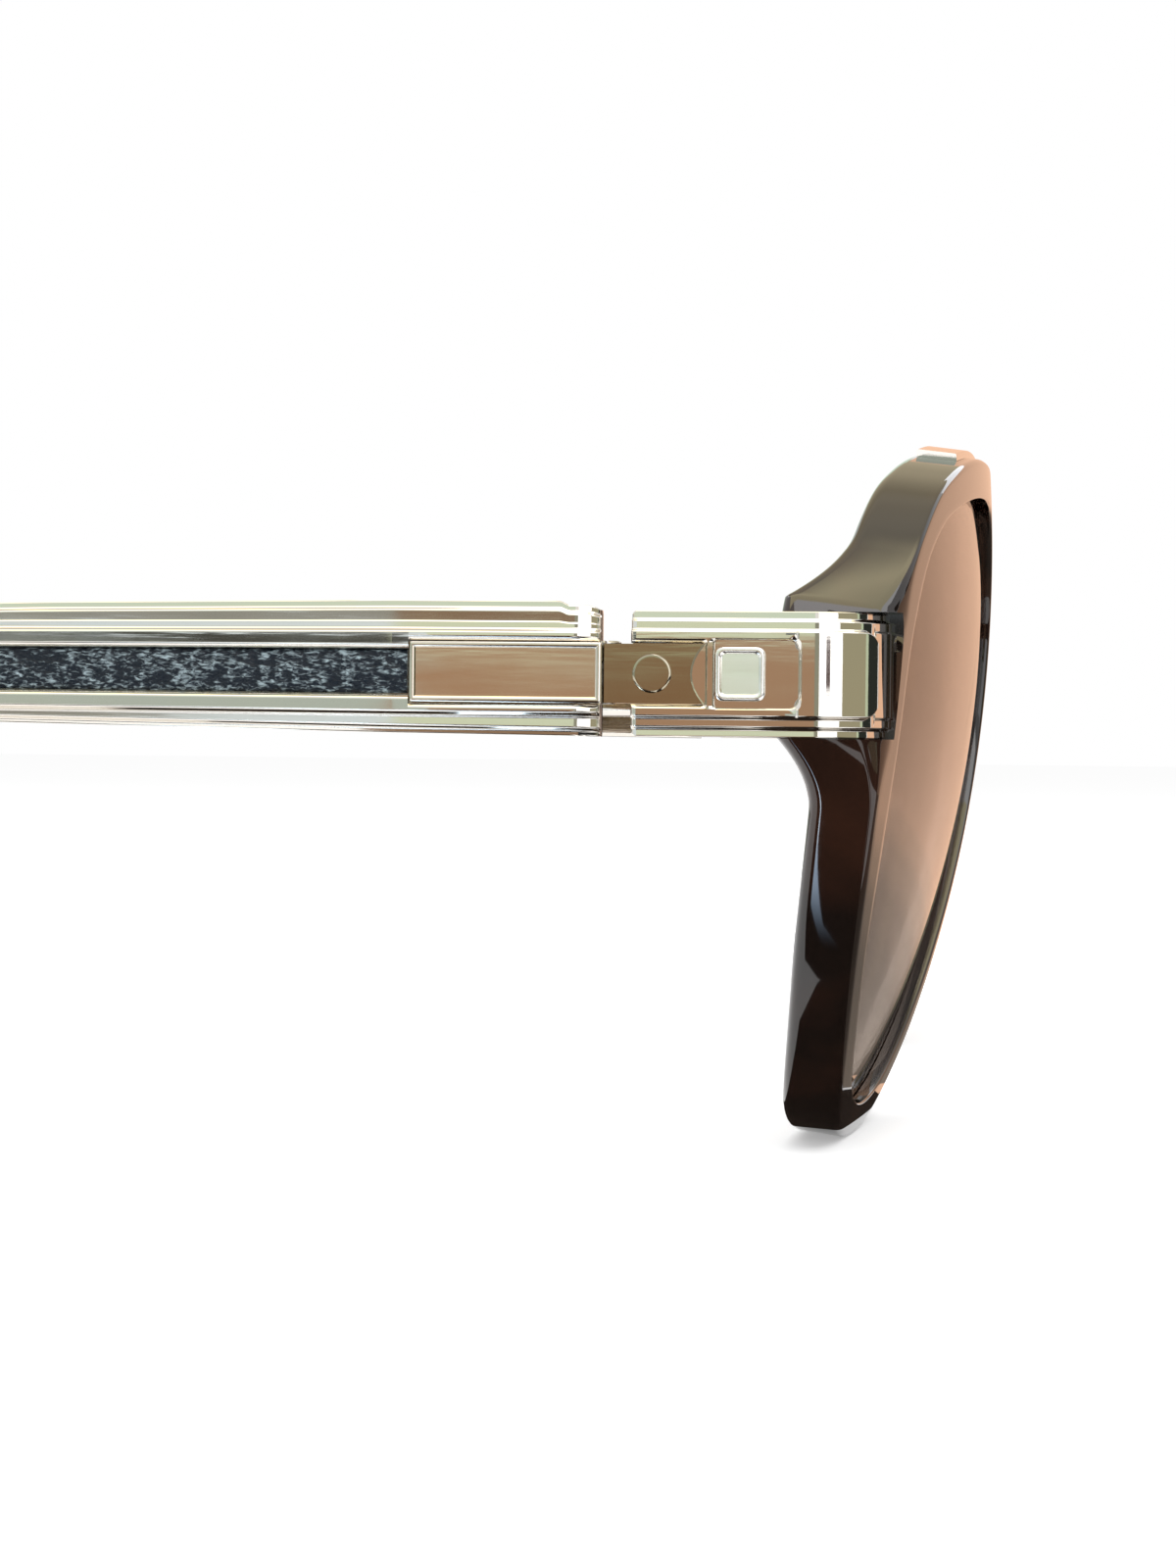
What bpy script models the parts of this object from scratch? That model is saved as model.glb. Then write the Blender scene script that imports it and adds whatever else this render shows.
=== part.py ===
"""Pilot sunglasses: a cut acetate front, metal end pieces, sprung hinges and inlaid metal temples.

Lengths are in millimetres in the working frame and become metres when a mesh is made.
The working frame has u outward from the nose, y rearward from the metal end piece's front and
v upward from the temple's centre line. The world frame has +Z up and the face towards -Y.
Its origin is under the middle of the part, on the surface that the sunglasses stand on.
"""

import bmesh
import bpy
import numpy as np
from math import cos, pi, radians, sin, sqrt, tan
from mathutils import Matrix, Vector

MM = 0.001

# Main sizes; the temple's length runs from its hinge to its end
FRONT_WIDTH = 142.6
FRONT_HEIGHT = 55.0
TEMPLE_LENGTH = 144.0

# Fits, and how far a cutter runs past the face that it cuts
SEAT = 0.05
RUN = 0.05
CUT_PAST = 1.0
SIDES = {"right": -1, "left": 1}

# Front: face surface, thickness and edges
SIDE_Y = 0.55
WRAP_RADIUS = 277.8
TILT = radians(7.5)
BULGE_V = -6.0
BULGE_RADIUS = 130.0
FOOT_CUT = 0.3
FRONT_THICK_TOP = 5.5
FRONT_THICK_BOTTOM = 4.7
FRONT_EDGE = 0.45
BACK_EDGE = 1.2
OPENING_EDGE = 0.25
ROUND_MID = 1 - cos(pi / 4)

# Hinge lug of the front
LUG_DEPTH = 3.3
LUG_HALF = 4.7
LUG_BLEND = 5.6
LUG_EDGE = 2.0
LUG_PLATEAU = 0.62
LUG_REACH = 14.0
LUG_RISE = 8.0

# Lens opening and rim outline, nose to temple and back, as matching (u, v) points that are
# stretched to the front's width and height
OPENING = [
    (14.6, 14.9), (22.5, 15.7), (31.0, 15.5), (40.0, 14.7), (48.5, 13.4), (55.8, 11.6), (61.9, 8.2),
    (65.7, 2.6), (66.6, -4.0), (66.4, -11.5), (64.6, -18.8), (60.3, -25.4), (53.6, -31.0), (45.5, -33.0),
    (37.0, -31.6), (28.0, -26.6), (19.4, -18.6), (12.9, -9.4), (9.4, 0.3), (10.0, 9.3),
]
OUTLINE = [
    (0.0, 18.7), (14.0, 19.3), (29.0, 18.9), (41.0, 17.6), (50.3, 15.9), (58.2, 13.5), (65.3, 9.2),
    (70.2, 4.0), (71.3, -3.0), (70.5, -11.0), (67.7, -19.3), (62.4, -26.8), (55.2, -33.2), (46.5, -35.7),
    (37.0, -34.7), (26.6, -29.6), (16.9, -21.0), (10.1, -11.0), (6.7, 0.2), (0.0, 7.8),
]
RIM_STEPS = [2, 3, 3, 3, 3, 3, 6, 6, 5, 4, 3, 3, 3, 2, 2, 2, 2, 2, 2, 3]

# Lens and its groove
LENS_DEPTH = 1.2
LENS_THICK = 2.0
LENS_CROWN = 1.0
GROOVE_DEEP = 0.7
LENS_MIDDLE = (38.0, -8.0)
LENS_RINGS = (0.4, 0.75)

# Brow bar let into the top of the front
BAR_DEPTH = 1.2
BAR_WIDTH = 3.2
BAR_SUNK = 0.7
BAR_PROUD = 0.6
BAR_SEGMENTS = 3
BAR_PIN_RADIUS = 0.6
BAR_PIN_LENGTH = 1.6

# Nose pads, between two stations of the outline's points
PAD_FIRST_STATION = 17.0
PAD_LAST_STATION = 18.2
PAD_INSET = 0.1
PAD_HEIGHT = 3.0
PAD_WIDTH = 2.3
PAD_STATIONS = 9

# Metal end piece: outer face, wrap round the corner, stepped section
END_PROUD = 0.7
END_HALF = 4.45
CORNER_RADIUS = 6.2
CORNER_START = 6.15
CORNER_TURN = radians(65)
CORNER_STEPS = 4
SHELL_THICK = 1.5
SHELL_END_THICK = 1.2
BLOCK_THICK = 3.2
BLOCK_FRONT = 9.5
END_GAP = 2.0
STEP_DROP = 0.45
FIELD_HALF = 3.0
MIDDLE_HALF = 3.75
FIELD_RAISE = 0.15
FIELD_REAR = 7.2
FIELD_TURN = radians(47)
FIELD_CORNER = 1.2
FIELD_STEPS = 2
FRAME_DROP = 0.35
FRAME_STEPS = 2
END_BREAK = 0.3
POCKET_PAST = 4.0
POCKET_STEPS = 6

# Recesses in the end piece's side
CHANNEL_HALF = 2.15
CHANNEL_FLOOR = 2.1
SLOT_BEVEL = 0.3
RECESS_HALF = 2.4
RECESS_CORNER = 0.8
TILE_FLOOR = 1.0
WEB_FRONT = 13.1
WEB_THICK = 0.65
WEB_FOOT = 0.3
TILE_LENGTH = 3.5
TILE_HEIGHT = 3.8
TILE_THICK = 0.75
TILE_BORDER = 0.4
TILE_SINK = 0.2
TILE_CORNER = 0.6
CORNER_PIN_RADIUS = 0.6
CORNER_PIN_IN_METAL = 0.75
CORNER_PIN_IN_FRONT = 1.5
CORNER_PIN_Y = 6.9
CORNER_PIN_V = 2.2

# Hinge leaf, pivot and spring slide
PIVOT_INSET = 4.6
PIVOT_Y = 21.0
KNUCKLE_RADIUS = 1.35
PIVOT_HOLE = 0.65
EAR_INNER = 0.9
EAR_OUTER = 2.1
EAR_CLEAR = 0.1
LEAF_CLEAR = 0.2
LEAF_HOLLOW = 0.9
LEAF_SHORT = 0.05
LEAF_THICK = 1.15
LEAF_LAP = 0.35
CAP_BACK = 3.6
CAP_RADIUS = 1.38
CAP_THICK = 0.2
CAP_BREAK = 0.08
CAP_SHANK = 0.65
SCREW_HEAD_RADIUS = 1.0
SCREW_HEAD_HEIGHT = 0.45
ROD_RADIUS = 0.5
ROD_HEAD_RADIUS = 0.8
ROD_HEAD_LENGTH = 1.0
FLEX_TRAVEL = 1.8
KNUCKLE_CLEAR = 0.25
HOUSING_HALF = 2.1
HOUSING_DEEP = 2.75
HOUSING_CORNER = 0.8
HOUSING_MOUTH = 0.25
HOUSING_TAIL = 0.5
HOUSING_END = 2.8
COLLAR_LENGTH = 1.4
BORE_RADIUS = 0.95
BORE_SPARE = 1.4
SPRING_PRESSED = 5.6
SPRING_WIRE = 0.12
SPRING_TURNS = 6
SPRING_GAP = 0.1
HOUSING_SCREW_INSET = 1.3
HOUSING_SCREW_RADIUS = 0.5
HOUSING_SCREW_HEAD = 0.9
HOUSING_SCREW_HEAD_HEIGHT = 0.35
HOUSING_SCREW_BITE = 1.0

# Temple: stepped metal core with a slot for the plate and the leather
TEMPLE_CLEAR = 0.2
TEMPLE_THICK = 3.2
SLOT_FLOOR = 2.2
PLATE_SLOT_HALF = 2.2
INLAY_SLOT_HALF = 1.6
RAIL_HALF = 2.85
MID_HALF = 3.9
TEMPLE_HALF = 4.5
REAR_HALF = 4.1
MID_LEVEL = 2.65
LOW_LEVEL = 2.1
TEMPLE_CHAMFER = 0.35
ROLL_LENGTH = 2.2
ROLL_DEPTH = 0.9
ROLL_SHARES = (0.0, 0.04, 0.16, 0.38)
NOSE_LENGTH = 1.2
NOSE_DROP = 0.3
SHOULDER_HALF = 4.4
CREST = 0.2
CREST_BACK = 3.0
CREST_RAMP = 0.8
STEP_LEAST = 0.12
TAPER_DELAY = 1.2
BOW = 6.0
PLATE_LENGTH = 13.6
PLATE_LEAD = 0.1
PLATE_THICK = 0.85
PLATE_BORDER = 0.3
PLATE_SINK = 0.12
INLAY_EDGE = 0.5
INLAY_CROWN = 0.3

# Temple tip over its tang
BEND_RADIUS = 25.0
BEND_ANGLE = radians(42)
BEND_STEPS = 6
TIP_LEAD = 19.0
TIP_END_RISE = 1.1
TIP_ROUND = 3.2
TIP_THICK = 3.4
TIP_END_THICK = 3.0
TIP_NECK_HALF = 3.3
TIP_END_HALF = 3.9
TIP_SQUARENESS = 3.2
TANG_HALF = 1.3
TANG_THICK = 1.1
TANG_LAP = 1.0
TANG_END = 12.0

# Places that follow from the sizes
WIDE = FRONT_WIDTH / 2 / max(u for u, v in OUTLINE)
TALL = FRONT_HEIGHT / (max(v for u, v in OUTLINE) - min(v for u, v in OUTLINE))
TOP_V = TALL * max(v for u, v in OUTLINE)
REST_DROP = -TALL * min(v for u, v in OUTLINE) - FOOT_CUT
APEX_Y = SIDE_Y - (FRONT_WIDTH / 2) ** 2 / (2 * WRAP_RADIUS)
OUTER_FACE = FRONT_WIDTH / 2 + END_PROUD
INNER_FACE = OUTER_FACE - TEMPLE_THICK
LUG_START = OUTER_FACE - LUG_REACH
END_REAR = PIVOT_Y - END_GAP
WEB_REAR = WEB_FRONT + WEB_THICK
PIVOT_U = OUTER_FACE - PIVOT_INSET
EAR_FRONT = END_REAR + EAR_CLEAR
LEAF_FRONT = WEB_REAR + LEAF_CLEAR
LEAF_REAR = PIVOT_Y - LEAF_SHORT
CAP_Y = LEAF_FRONT + CAP_BACK
HOUSING_FRONT = PIVOT_Y + KNUCKLE_RADIUS + KNUCKLE_CLEAR
ROD_HEAD_FRONT = HOUSING_FRONT + COLLAR_LENGTH + SPRING_PRESSED + FLEX_TRAVEL
BORE_REAR = ROD_HEAD_FRONT + ROD_HEAD_LENGTH + BORE_SPARE
HOUSING_REAR = BORE_REAR + HOUSING_END
HOUSING_SCREW_Y = HOUSING_REAR - HOUSING_SCREW_INSET
TEMPLE_FRONT = PIVOT_Y + TEMPLE_CLEAR
CREST_START = TEMPLE_FRONT + CREST_BACK
PLATE_REAR = TEMPLE_FRONT + PLATE_LENGTH
TAPER_START = PLATE_REAR + TAPER_DELAY
TEMPLE_END = PIVOT_Y + TEMPLE_LENGTH
TIP_STRAIGHT = (REST_DROP - TIP_END_RISE - BEND_RADIUS * (1 - cos(BEND_ANGLE))) / sin(BEND_ANGLE)
BEND_END = TEMPLE_END - TIP_STRAIGHT
BEND_START = BEND_END - BEND_RADIUS * BEND_ANGLE
CORE_REAR = BEND_START - TIP_LEAD


# Front surface

def front_y(u, v):
    """Height of the front's face: a wrap across, a bulge up and down, and the tilt."""
    return APEX_Y + u * u / (2 * WRAP_RADIUS) + (v - BULGE_V) ** 2 / (2 * BULGE_RADIUS) - v * tan(TILT)


def lug_share(u, v):
    """1 where the temple joins the front, falling along a hollow curve to 0 above and below."""
    away = max(0.0, abs(v) - LUG_HALF) / LUG_BLEND
    across = min(1.0, max(0.0, (u - LUG_START) / LUG_RISE))
    return max(0.0, 1 - away) ** 2 * across ** 2


def front_point(u, v, depth, share=0.0):
    """Point at a depth behind the face, square to it, or straight back where share is 1."""
    back = np.array([-u / WRAP_RADIUS * (1 - share), 1.0, tan(TILT)])
    u2, y2, v2 = np.array([u, front_y(u, v), v]) + depth * back / np.linalg.norm(back)
    return (float(u2), float(y2), float(v2))


def thickness(v):
    """Thickness of the front, which grows from its foot to its brow."""
    share = (v + REST_DROP) / (TOP_V + REST_DROP)
    return FRONT_THICK_BOTTOM + (FRONT_THICK_TOP - FRONT_THICK_BOTTOM) * share


def smooth_through(points, before, after, steps):
    """Catmull-Rom curve through points, with steps[i] pieces after point i."""
    knots = [np.array(p, float) for p in [before] + points + after]
    curve = []
    for i, count in enumerate(steps):
        a, b, c, d = knots[i:i + 4]
        for k in range(count):
            t = k / count
            curve.append(0.5 * (2 * b + (c - a) * t + (2 * a - 5 * b + 4 * c - d) * t ** 2
                                + (3 * b - a - 3 * c + d) * t ** 3))
    return curve


def stretched(points):
    """Drawn points stretched to the front's width and height."""
    return [(u * WIDE, v * TALL) for u, v in points]


def opening_curve():
    """Closed curve of the lens opening."""
    points = stretched(OPENING)
    return smooth_through(points, points[-1], points[:2], RIM_STEPS)


def outward(curve):
    """Outward unit normals of a closed curve whose points run clockwise seen from the front."""
    normals = []
    for k in range(len(curve)):
        along = curve[(k + 1) % len(curve)] - curve[k - 1]
        normals.append(np.array([-along[1], along[0]]) / np.linalg.norm(along))
    return normals


def outline_curve():
    """Outline of half the front, from the brow's centre round to the bridge and up the centre."""
    points = stretched(OUTLINE)
    mirrored = [(-points[1][0], points[1][1]), (-points[-2][0], points[-2][1])]
    rim = smooth_through(points, mirrored[0], [mirrored[1]], RIM_STEPS[:-1])
    foot, crown = np.array(points[-1]), np.array(points[0])
    centre = [foot + (crown - foot) * k / RIM_STEPS[-1] for k in range(RIM_STEPS[-1])]
    return rim + centre


# Mesh helpers

def place(point, side):
    """Working millimetres to world metres on one side."""
    u, y, v = point
    return Vector((side * u * MM, (y - MIDDLE_Y) * MM, (v + REST_DROP) * MM))


def skin(rings, side, loop=False, poles=None):
    """Closed body over rings of equal count: capped, ending in poles, or joined end to start."""
    bm = bmesh.new()
    layers = [[bm.verts.new(place(p, side)) for p in ring] for ring in rings]
    pairs = list(zip(layers, layers[1:]))
    if loop:
        pairs.append((layers[-1], layers[0]))
    for low, high in pairs:
        for k in range(len(low)):
            j = (k + 1) % len(low)
            bm.faces.new((low[k], low[j], high[j], high[k]))
    if poles:
        for pole, layer in zip(poles, (layers[0], layers[-1])):
            tip = bm.verts.new(place(pole, side))
            for k in range(len(layer)):
                bm.faces.new((layer[k], layer[(k + 1) % len(layer)], tip))
    elif not loop:
        bm.faces.new(layers[0])
        bm.faces.new(layers[-1])
    bmesh.ops.recalc_face_normals(bm, faces=bm.faces)
    return bm


def turned(profile, origin, axis, side, count=16):
    """Body turned about an axis through origin: profile is (distance along, radius) pairs."""
    ways = {"u": (0, 1, 2), "y": (1, 0, 2), "v": (2, 0, 1)}[axis]
    rings = []
    for along, radius in profile:
        ring = []
        for k in range(count):
            turn = 2 * pi * k / count
            point = list(origin)
            point[ways[0]] += along
            point[ways[1]] += radius * cos(turn)
            point[ways[2]] += radius * sin(turn)
            ring.append(tuple(point))
        rings.append(ring)
    return skin(rings, side)


def block(low, high, side):
    """Box between two corners."""
    (u0, y0, v0), (u1, y1, v1) = low, high
    ring = [(u0, y0), (u1, y0), (u1, y1), (u0, y1)]
    return skin([[(u, y, v) for u, y in ring] for v in (v0, v1)], side)


def eased(corners, radii, steps=2):
    """Flat outline whose right-angled corners are turned into arcs, each of its own radius."""
    points = []
    for k, (corner, radius) in enumerate(zip(corners, radii)):
        if radius == 0.0:
            points.append(corner)
            continue
        here = np.array(corner)
        back = np.array(corners[k - 1]) - here
        ahead = np.array(corners[(k + 1) % len(corners)]) - here
        back, ahead = back / np.linalg.norm(back), ahead / np.linalg.norm(ahead)
        centre = here + radius * (back + ahead)
        for j in range(steps + 1):
            turn = pi / 2 * j / steps
            points.append(tuple(centre - radius * (ahead * cos(turn) + back * sin(turn))))
    return points


def add(name, bm, material, smooth=35):
    """Object from a bmesh, with soft shading up to an angle."""
    mesh = bpy.data.meshes.new(name)
    bm.to_mesh(mesh)
    bm.free()
    mesh.shade_smooth()
    mesh.set_sharp_from_angle(angle=radians(smooth))
    mesh.materials.append(material)
    thing = bpy.data.objects.new(name, mesh)
    bpy.context.scene.collection.objects.link(thing)
    return thing


def combine(target, name, bm, operation):
    """Join a body to an object, or cut it out of it, with a live Boolean."""
    mesh = bpy.data.meshes.new(name)
    bm.to_mesh(mesh)
    bm.free()
    tool = bpy.data.objects.new(name, mesh)
    bpy.context.scene.collection.objects.link(tool)
    tool.hide_render = True
    tool.display_type = "WIRE"
    tool.parent = target.parent
    modifier = target.modifiers.new(name, "BOOLEAN")
    modifier.operation = operation
    modifier.object = tool
    return tool


def material(name, colour, roughness, metallic=0.0, alpha=1.0):
    """Principled material."""
    made = bpy.data.materials.new(name)
    made.use_nodes = True
    shader = made.node_tree.nodes["Principled BSDF"]
    shader.inputs["Base Color"].default_value = (*colour, 1.0)
    shader.inputs["Roughness"].default_value = roughness
    shader.inputs["Metallic"].default_value = metallic
    shader.inputs["Alpha"].default_value = alpha
    return made


# Temple path

def bend_at(along):
    """Downward turn of the temple at a distance along it."""
    return min(BEND_ANGLE, max(0.0, (along - BEND_START) / BEND_RADIUS))


def temple_point(along, out, up):
    """Point of the temple: along its path, out from its inner face and up from its middle."""
    turn = bend_at(along)
    past = max(0.0, along - BEND_END)
    y = min(along, BEND_START) + BEND_RADIUS * sin(turn) + past * cos(turn)
    v = -BEND_RADIUS * (1 - cos(turn)) - past * sin(turn)
    inward = BOW * (max(0.0, along - TAPER_START) / (TEMPLE_END - TAPER_START)) ** 2
    return (INNER_FACE - inward + out, y + up * sin(turn), v + up * cos(turn))


def taper(along):
    """Share of the full height that the temple keeps."""
    share = (min(along, CORE_REAR) - TAPER_START) / (CORE_REAR - TAPER_START)
    return 1 - (1 - REAR_HALF / TEMPLE_HALF) * max(0.0, share)


def bend_stations():
    """Distances along the temple through its bend."""
    return [BEND_START + (BEND_END - BEND_START) * k / BEND_STEPS for k in range(BEND_STEPS + 1)]


def neck_station():
    """Distance along the temple half way between the metal's end and the bend."""
    return (CORE_REAR + BEND_START) / 2


def straight_stations():
    """Distances along the straight stretch that carries the leather."""
    count = 4
    return [TAPER_START + (CORE_REAR - TAPER_START) * k / count for k in range(count + 1)]


def tip_half(along):
    """Half height of the tip: a slim neck at the bend and a fuller end."""
    if along < BEND_END:
        share = (along - CORE_REAR) / (BEND_END - CORE_REAR)
        return REAR_HALF + (TIP_NECK_HALF - REAR_HALF) * (3 * share ** 2 - 2 * share ** 3)
    share = (along - BEND_END) / (TEMPLE_END - BEND_END)
    return TIP_NECK_HALF + (TIP_END_HALF - TIP_NECK_HALF) * min(1.0, 1.4 * share)


def rounded(half_out, half_up, middle, squareness, along, count=20):
    """Ring of a rounded section on the temple's path."""
    ring = []
    for k in range(count):
        turn = 2 * pi * (k + 0.5) / count
        reach = [abs(f(turn)) ** (2 / squareness) * (1 if f(turn) > 0 else -1) for f in (cos, sin)]
        ring.append(temple_point(along, middle + half_out * reach[0], half_up * reach[1]))
    return ring


def tip_outer_rings():
    """Rings of the tip's outside, from its mouth to its rounded end."""
    straight = [TEMPLE_END - TIP_STRAIGHT * s for s in (0.66, 0.33)] + [TEMPLE_END - TIP_ROUND]
    stations = [CORE_REAR + SEAT, neck_station()] + bend_stations() + straight
    rings = []
    for along in stations:
        share = (along - CORE_REAR) / (TEMPLE_END - CORE_REAR)
        half = (TIP_THICK + (TIP_END_THICK - TIP_THICK) * share) / 2
        rings.append(rounded(half, tip_half(along), TEMPLE_THICK / 2, TIP_SQUARENESS, along))
    for turn in (radians(35), radians(62), radians(82)):
        along = TEMPLE_END - TIP_ROUND * (1 - sin(turn))
        half = TIP_END_THICK / 2 * cos(turn) ** 0.6
        high = (TIP_END_HALF - TIP_ROUND * (1 - cos(turn)))
        rings.append(rounded(half, high, TEMPLE_THICK / 2, TIP_SQUARENESS, along))
    return rings


def middle_of_depth():
    """Half way between the foremost point of the front and the end of a temple."""
    bridge_foot = stretched(OUTLINE)[-1][1]
    foremost = min(front_y(0.0, v) for v in np.linspace(bridge_foot, TOP_V, 50))
    rearmost = max(p[1] for ring in tip_outer_rings() for p in ring)
    return (foremost + rearmost) / 2


MIDDLE_Y = middle_of_depth()


# Front pieces

def make_front(acetate):
    """Front of cut acetate: rings carried round each lens opening, joined at the bridge."""
    opening, outline = opening_curve(), outline_curve()
    away = outward(opening)
    first_centre = len(outline) - RIM_STEPS[-1]

    def ring(depth, inset=None, blend=0.0, groove=0.0):
        points = []
        for i, (o, e) in enumerate(zip(opening, outline)):
            share = lug_share(e[0], e[1])
            if inset is not None:
                at = e + (o - e) / np.linalg.norm(o - e) * inset(share)
            else:
                at = o + (e - o) * blend + away[i] * groove
            if inset is not None and (i >= first_centre or i == 0):
                at[0] = 0.0
            straight = 0.0 if inset is None and blend == 0.0 else share
            points.append(front_point(at[0], at[1], depth(at[1], share), straight))
        return points

    def back(v, share):
        return thickness(v) + LUG_DEPTH * share

    def edge(share):
        return FRONT_EDGE + (LUG_EDGE - FRONT_EDGE) * share

    lens_back = LENS_DEPTH + LENS_THICK
    mid_share = 0.5
    rings = [
        ring(lambda v, s: OPENING_EDGE),
        ring(lambda v, s: 0.0, groove=OPENING_EDGE),
        ring(lambda v, s: 0.0, blend=mid_share),
        ring(lambda v, s: 0.0, inset=edge),
        ring(lambda v, s: ROUND_MID * edge(s), inset=lambda s: ROUND_MID * edge(s)),
        ring(lambda v, s: edge(s), inset=lambda s: 0.0),
        ring(lambda v, s: back(v, s) - BACK_EDGE, inset=lambda s: 0.0),
        ring(lambda v, s: back(v, s) - ROUND_MID * BACK_EDGE, inset=lambda s: ROUND_MID * BACK_EDGE),
        ring(back, inset=lambda s: BACK_EDGE),
        ring(back, blend=1 - LUG_PLATEAU),
        ring(lambda v, s: back(v, 0.0), groove=OPENING_EDGE),
        ring(lambda v, s: back(v, 0.0) - OPENING_EDGE),
        ring(lambda v, s: lens_back + RUN),
        ring(lambda v, s: LENS_DEPTH + LENS_THICK / 2, groove=GROOVE_DEEP),
        ring(lambda v, s: LENS_DEPTH - RUN),
    ]
    bm = skin(rings, 1, loop=True)
    inner = [f for f in bm.faces if all(abs(v.co.x) < 0.001 * MM for v in f.verts)]
    bmesh.ops.delete(bm, geom=inner, context="FACES")
    loose = [v for v in bm.verts if not v.link_faces]
    bmesh.ops.delete(bm, geom=loose, context="VERTS")
    half = bm.verts[:] + bm.edges[:] + bm.faces[:]
    twin = bmesh.ops.duplicate(bm, geom=half)["geom"]
    for v in twin:
        if isinstance(v, bmesh.types.BMVert):
            v.co.x = -v.co.x
    bmesh.ops.remove_doubles(bm, verts=bm.verts, dist=0.001 * MM)
    bmesh.ops.recalc_face_normals(bm, faces=bm.faces)
    front = add("front_frame", bm, acetate)
    combine(front, "floor_cut", floor_box(), "DIFFERENCE")
    combine(front, "bar_channel", brow_bar_body(RUN), "DIFFERENCE")
    for name, side in SIDES.items():
        combine(front, f"pocket_{name}", pocket_body(side), "DIFFERENCE")
        for bm in corner_pin_bodies(side, RUN):
            combine(front, f"pin_hole_{name}", bm, "DIFFERENCE")
    for bm in bar_pin_bodies(RUN):
        combine(front, "bar_pin_hole", bm, "DIFFERENCE")
    return front


def floor_box():
    """Everything below the surface that the sunglasses stand on."""
    reach = FRONT_WIDTH
    return block((-reach, -reach, -REST_DROP - reach), (reach, TEMPLE_END + reach, -REST_DROP), 1)


def brow_bar_body(room=0.0):
    """Flat bar along the brow's top from crest to crest, or its channel where room is given."""
    curve = outline_curve()
    last = sum(RIM_STEPS[:BAR_SEGMENTS])
    half = curve[:last + 1]
    line = [np.array([-p[0], p[1]]) for p in half[:0:-1]] + half
    rings = []
    for k, at in enumerate(line):
        along = line[min(k + 1, len(line) - 1)] - line[max(k - 1, 0)]
        along = along / np.linalg.norm(along)
        out = np.array([-along[1], along[0]])
        ends = (k == len(line) - 1) - (k == 0)
        at = at + along * room * ends
        top = BAR_PROUD if room == 0.0 else BAR_PROUD + BAR_SUNK
        ring = []
        for depth, rise in (
            (BAR_DEPTH - room, -BAR_SUNK - room), (BAR_DEPTH + BAR_WIDTH + room, -BAR_SUNK - room),
            (BAR_DEPTH + BAR_WIDTH + room, top), (BAR_DEPTH - room, top),
        ):
            spot = at + out * rise
            u, y, v = front_point(abs(spot[0]), spot[1], depth)
            ring.append((u if spot[0] >= 0 else -u, y, v))
        rings.append(ring)
    return skin(rings, 1)


def bar_pin_bodies(room=0.0):
    """Pins that hold the brow bar in the front, or their holes."""
    pins = []
    curve = outline_curve()
    spot = curve[sum(RIM_STEPS[:2])]
    for sign in (-1, 1):
        u, y, v = front_point(spot[0], spot[1] - BAR_SUNK, BAR_DEPTH + BAR_WIDTH / 2)
        top = v + BAR_SUNK
        low = v - BAR_PIN_LENGTH - room
        profile = [(low - v, BAR_PIN_RADIUS + room), (top - v, BAR_PIN_RADIUS + room)]
        pins.append(turned(profile, (sign * u, y, v), "v", 1, 12))
    return pins


def make_brow_bar(metal):
    """Brow bar with two pins below it, which sit in holes in the front."""
    bar = add("brow_bar", brow_bar_body(), metal)
    for bm in bar_pin_bodies():
        combine(bar, "bar_pin", bm, "UNION")
    return bar


def make_lens(name, side, tinted):
    """Lens: a crowned meniscus with a V edge that sits in the rim's groove."""
    opening = opening_curve()
    away = outward(opening)
    middle = np.array(stretched([LENS_MIDDLE])[0])

    def ring(share, depth, spread=0.0):
        points = []
        for o, normal in zip(opening, away):
            at = middle + (o - middle) * share + normal * spread
            sink = depth - LENS_CROWN * (1 - share ** 2)
            points.append(front_point(at[0], at[1], sink))
        return points

    back = LENS_DEPTH + LENS_THICK
    rings = [ring(s, LENS_DEPTH) for s in LENS_RINGS]
    rings.append(ring(1.0, LENS_DEPTH, -RUN))
    rings.append(ring(1.0, LENS_DEPTH + LENS_THICK / 2, GROOVE_DEEP - 2 * RUN))
    rings.append(ring(1.0, back, -RUN))
    rings += [ring(s, back) for s in reversed(LENS_RINGS)]
    poles = [front_point(*middle, depth - LENS_CROWN) for depth in (LENS_DEPTH, back)]
    return add(f"lens_{name}", skin(rings, side, poles=poles), tinted)


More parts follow.
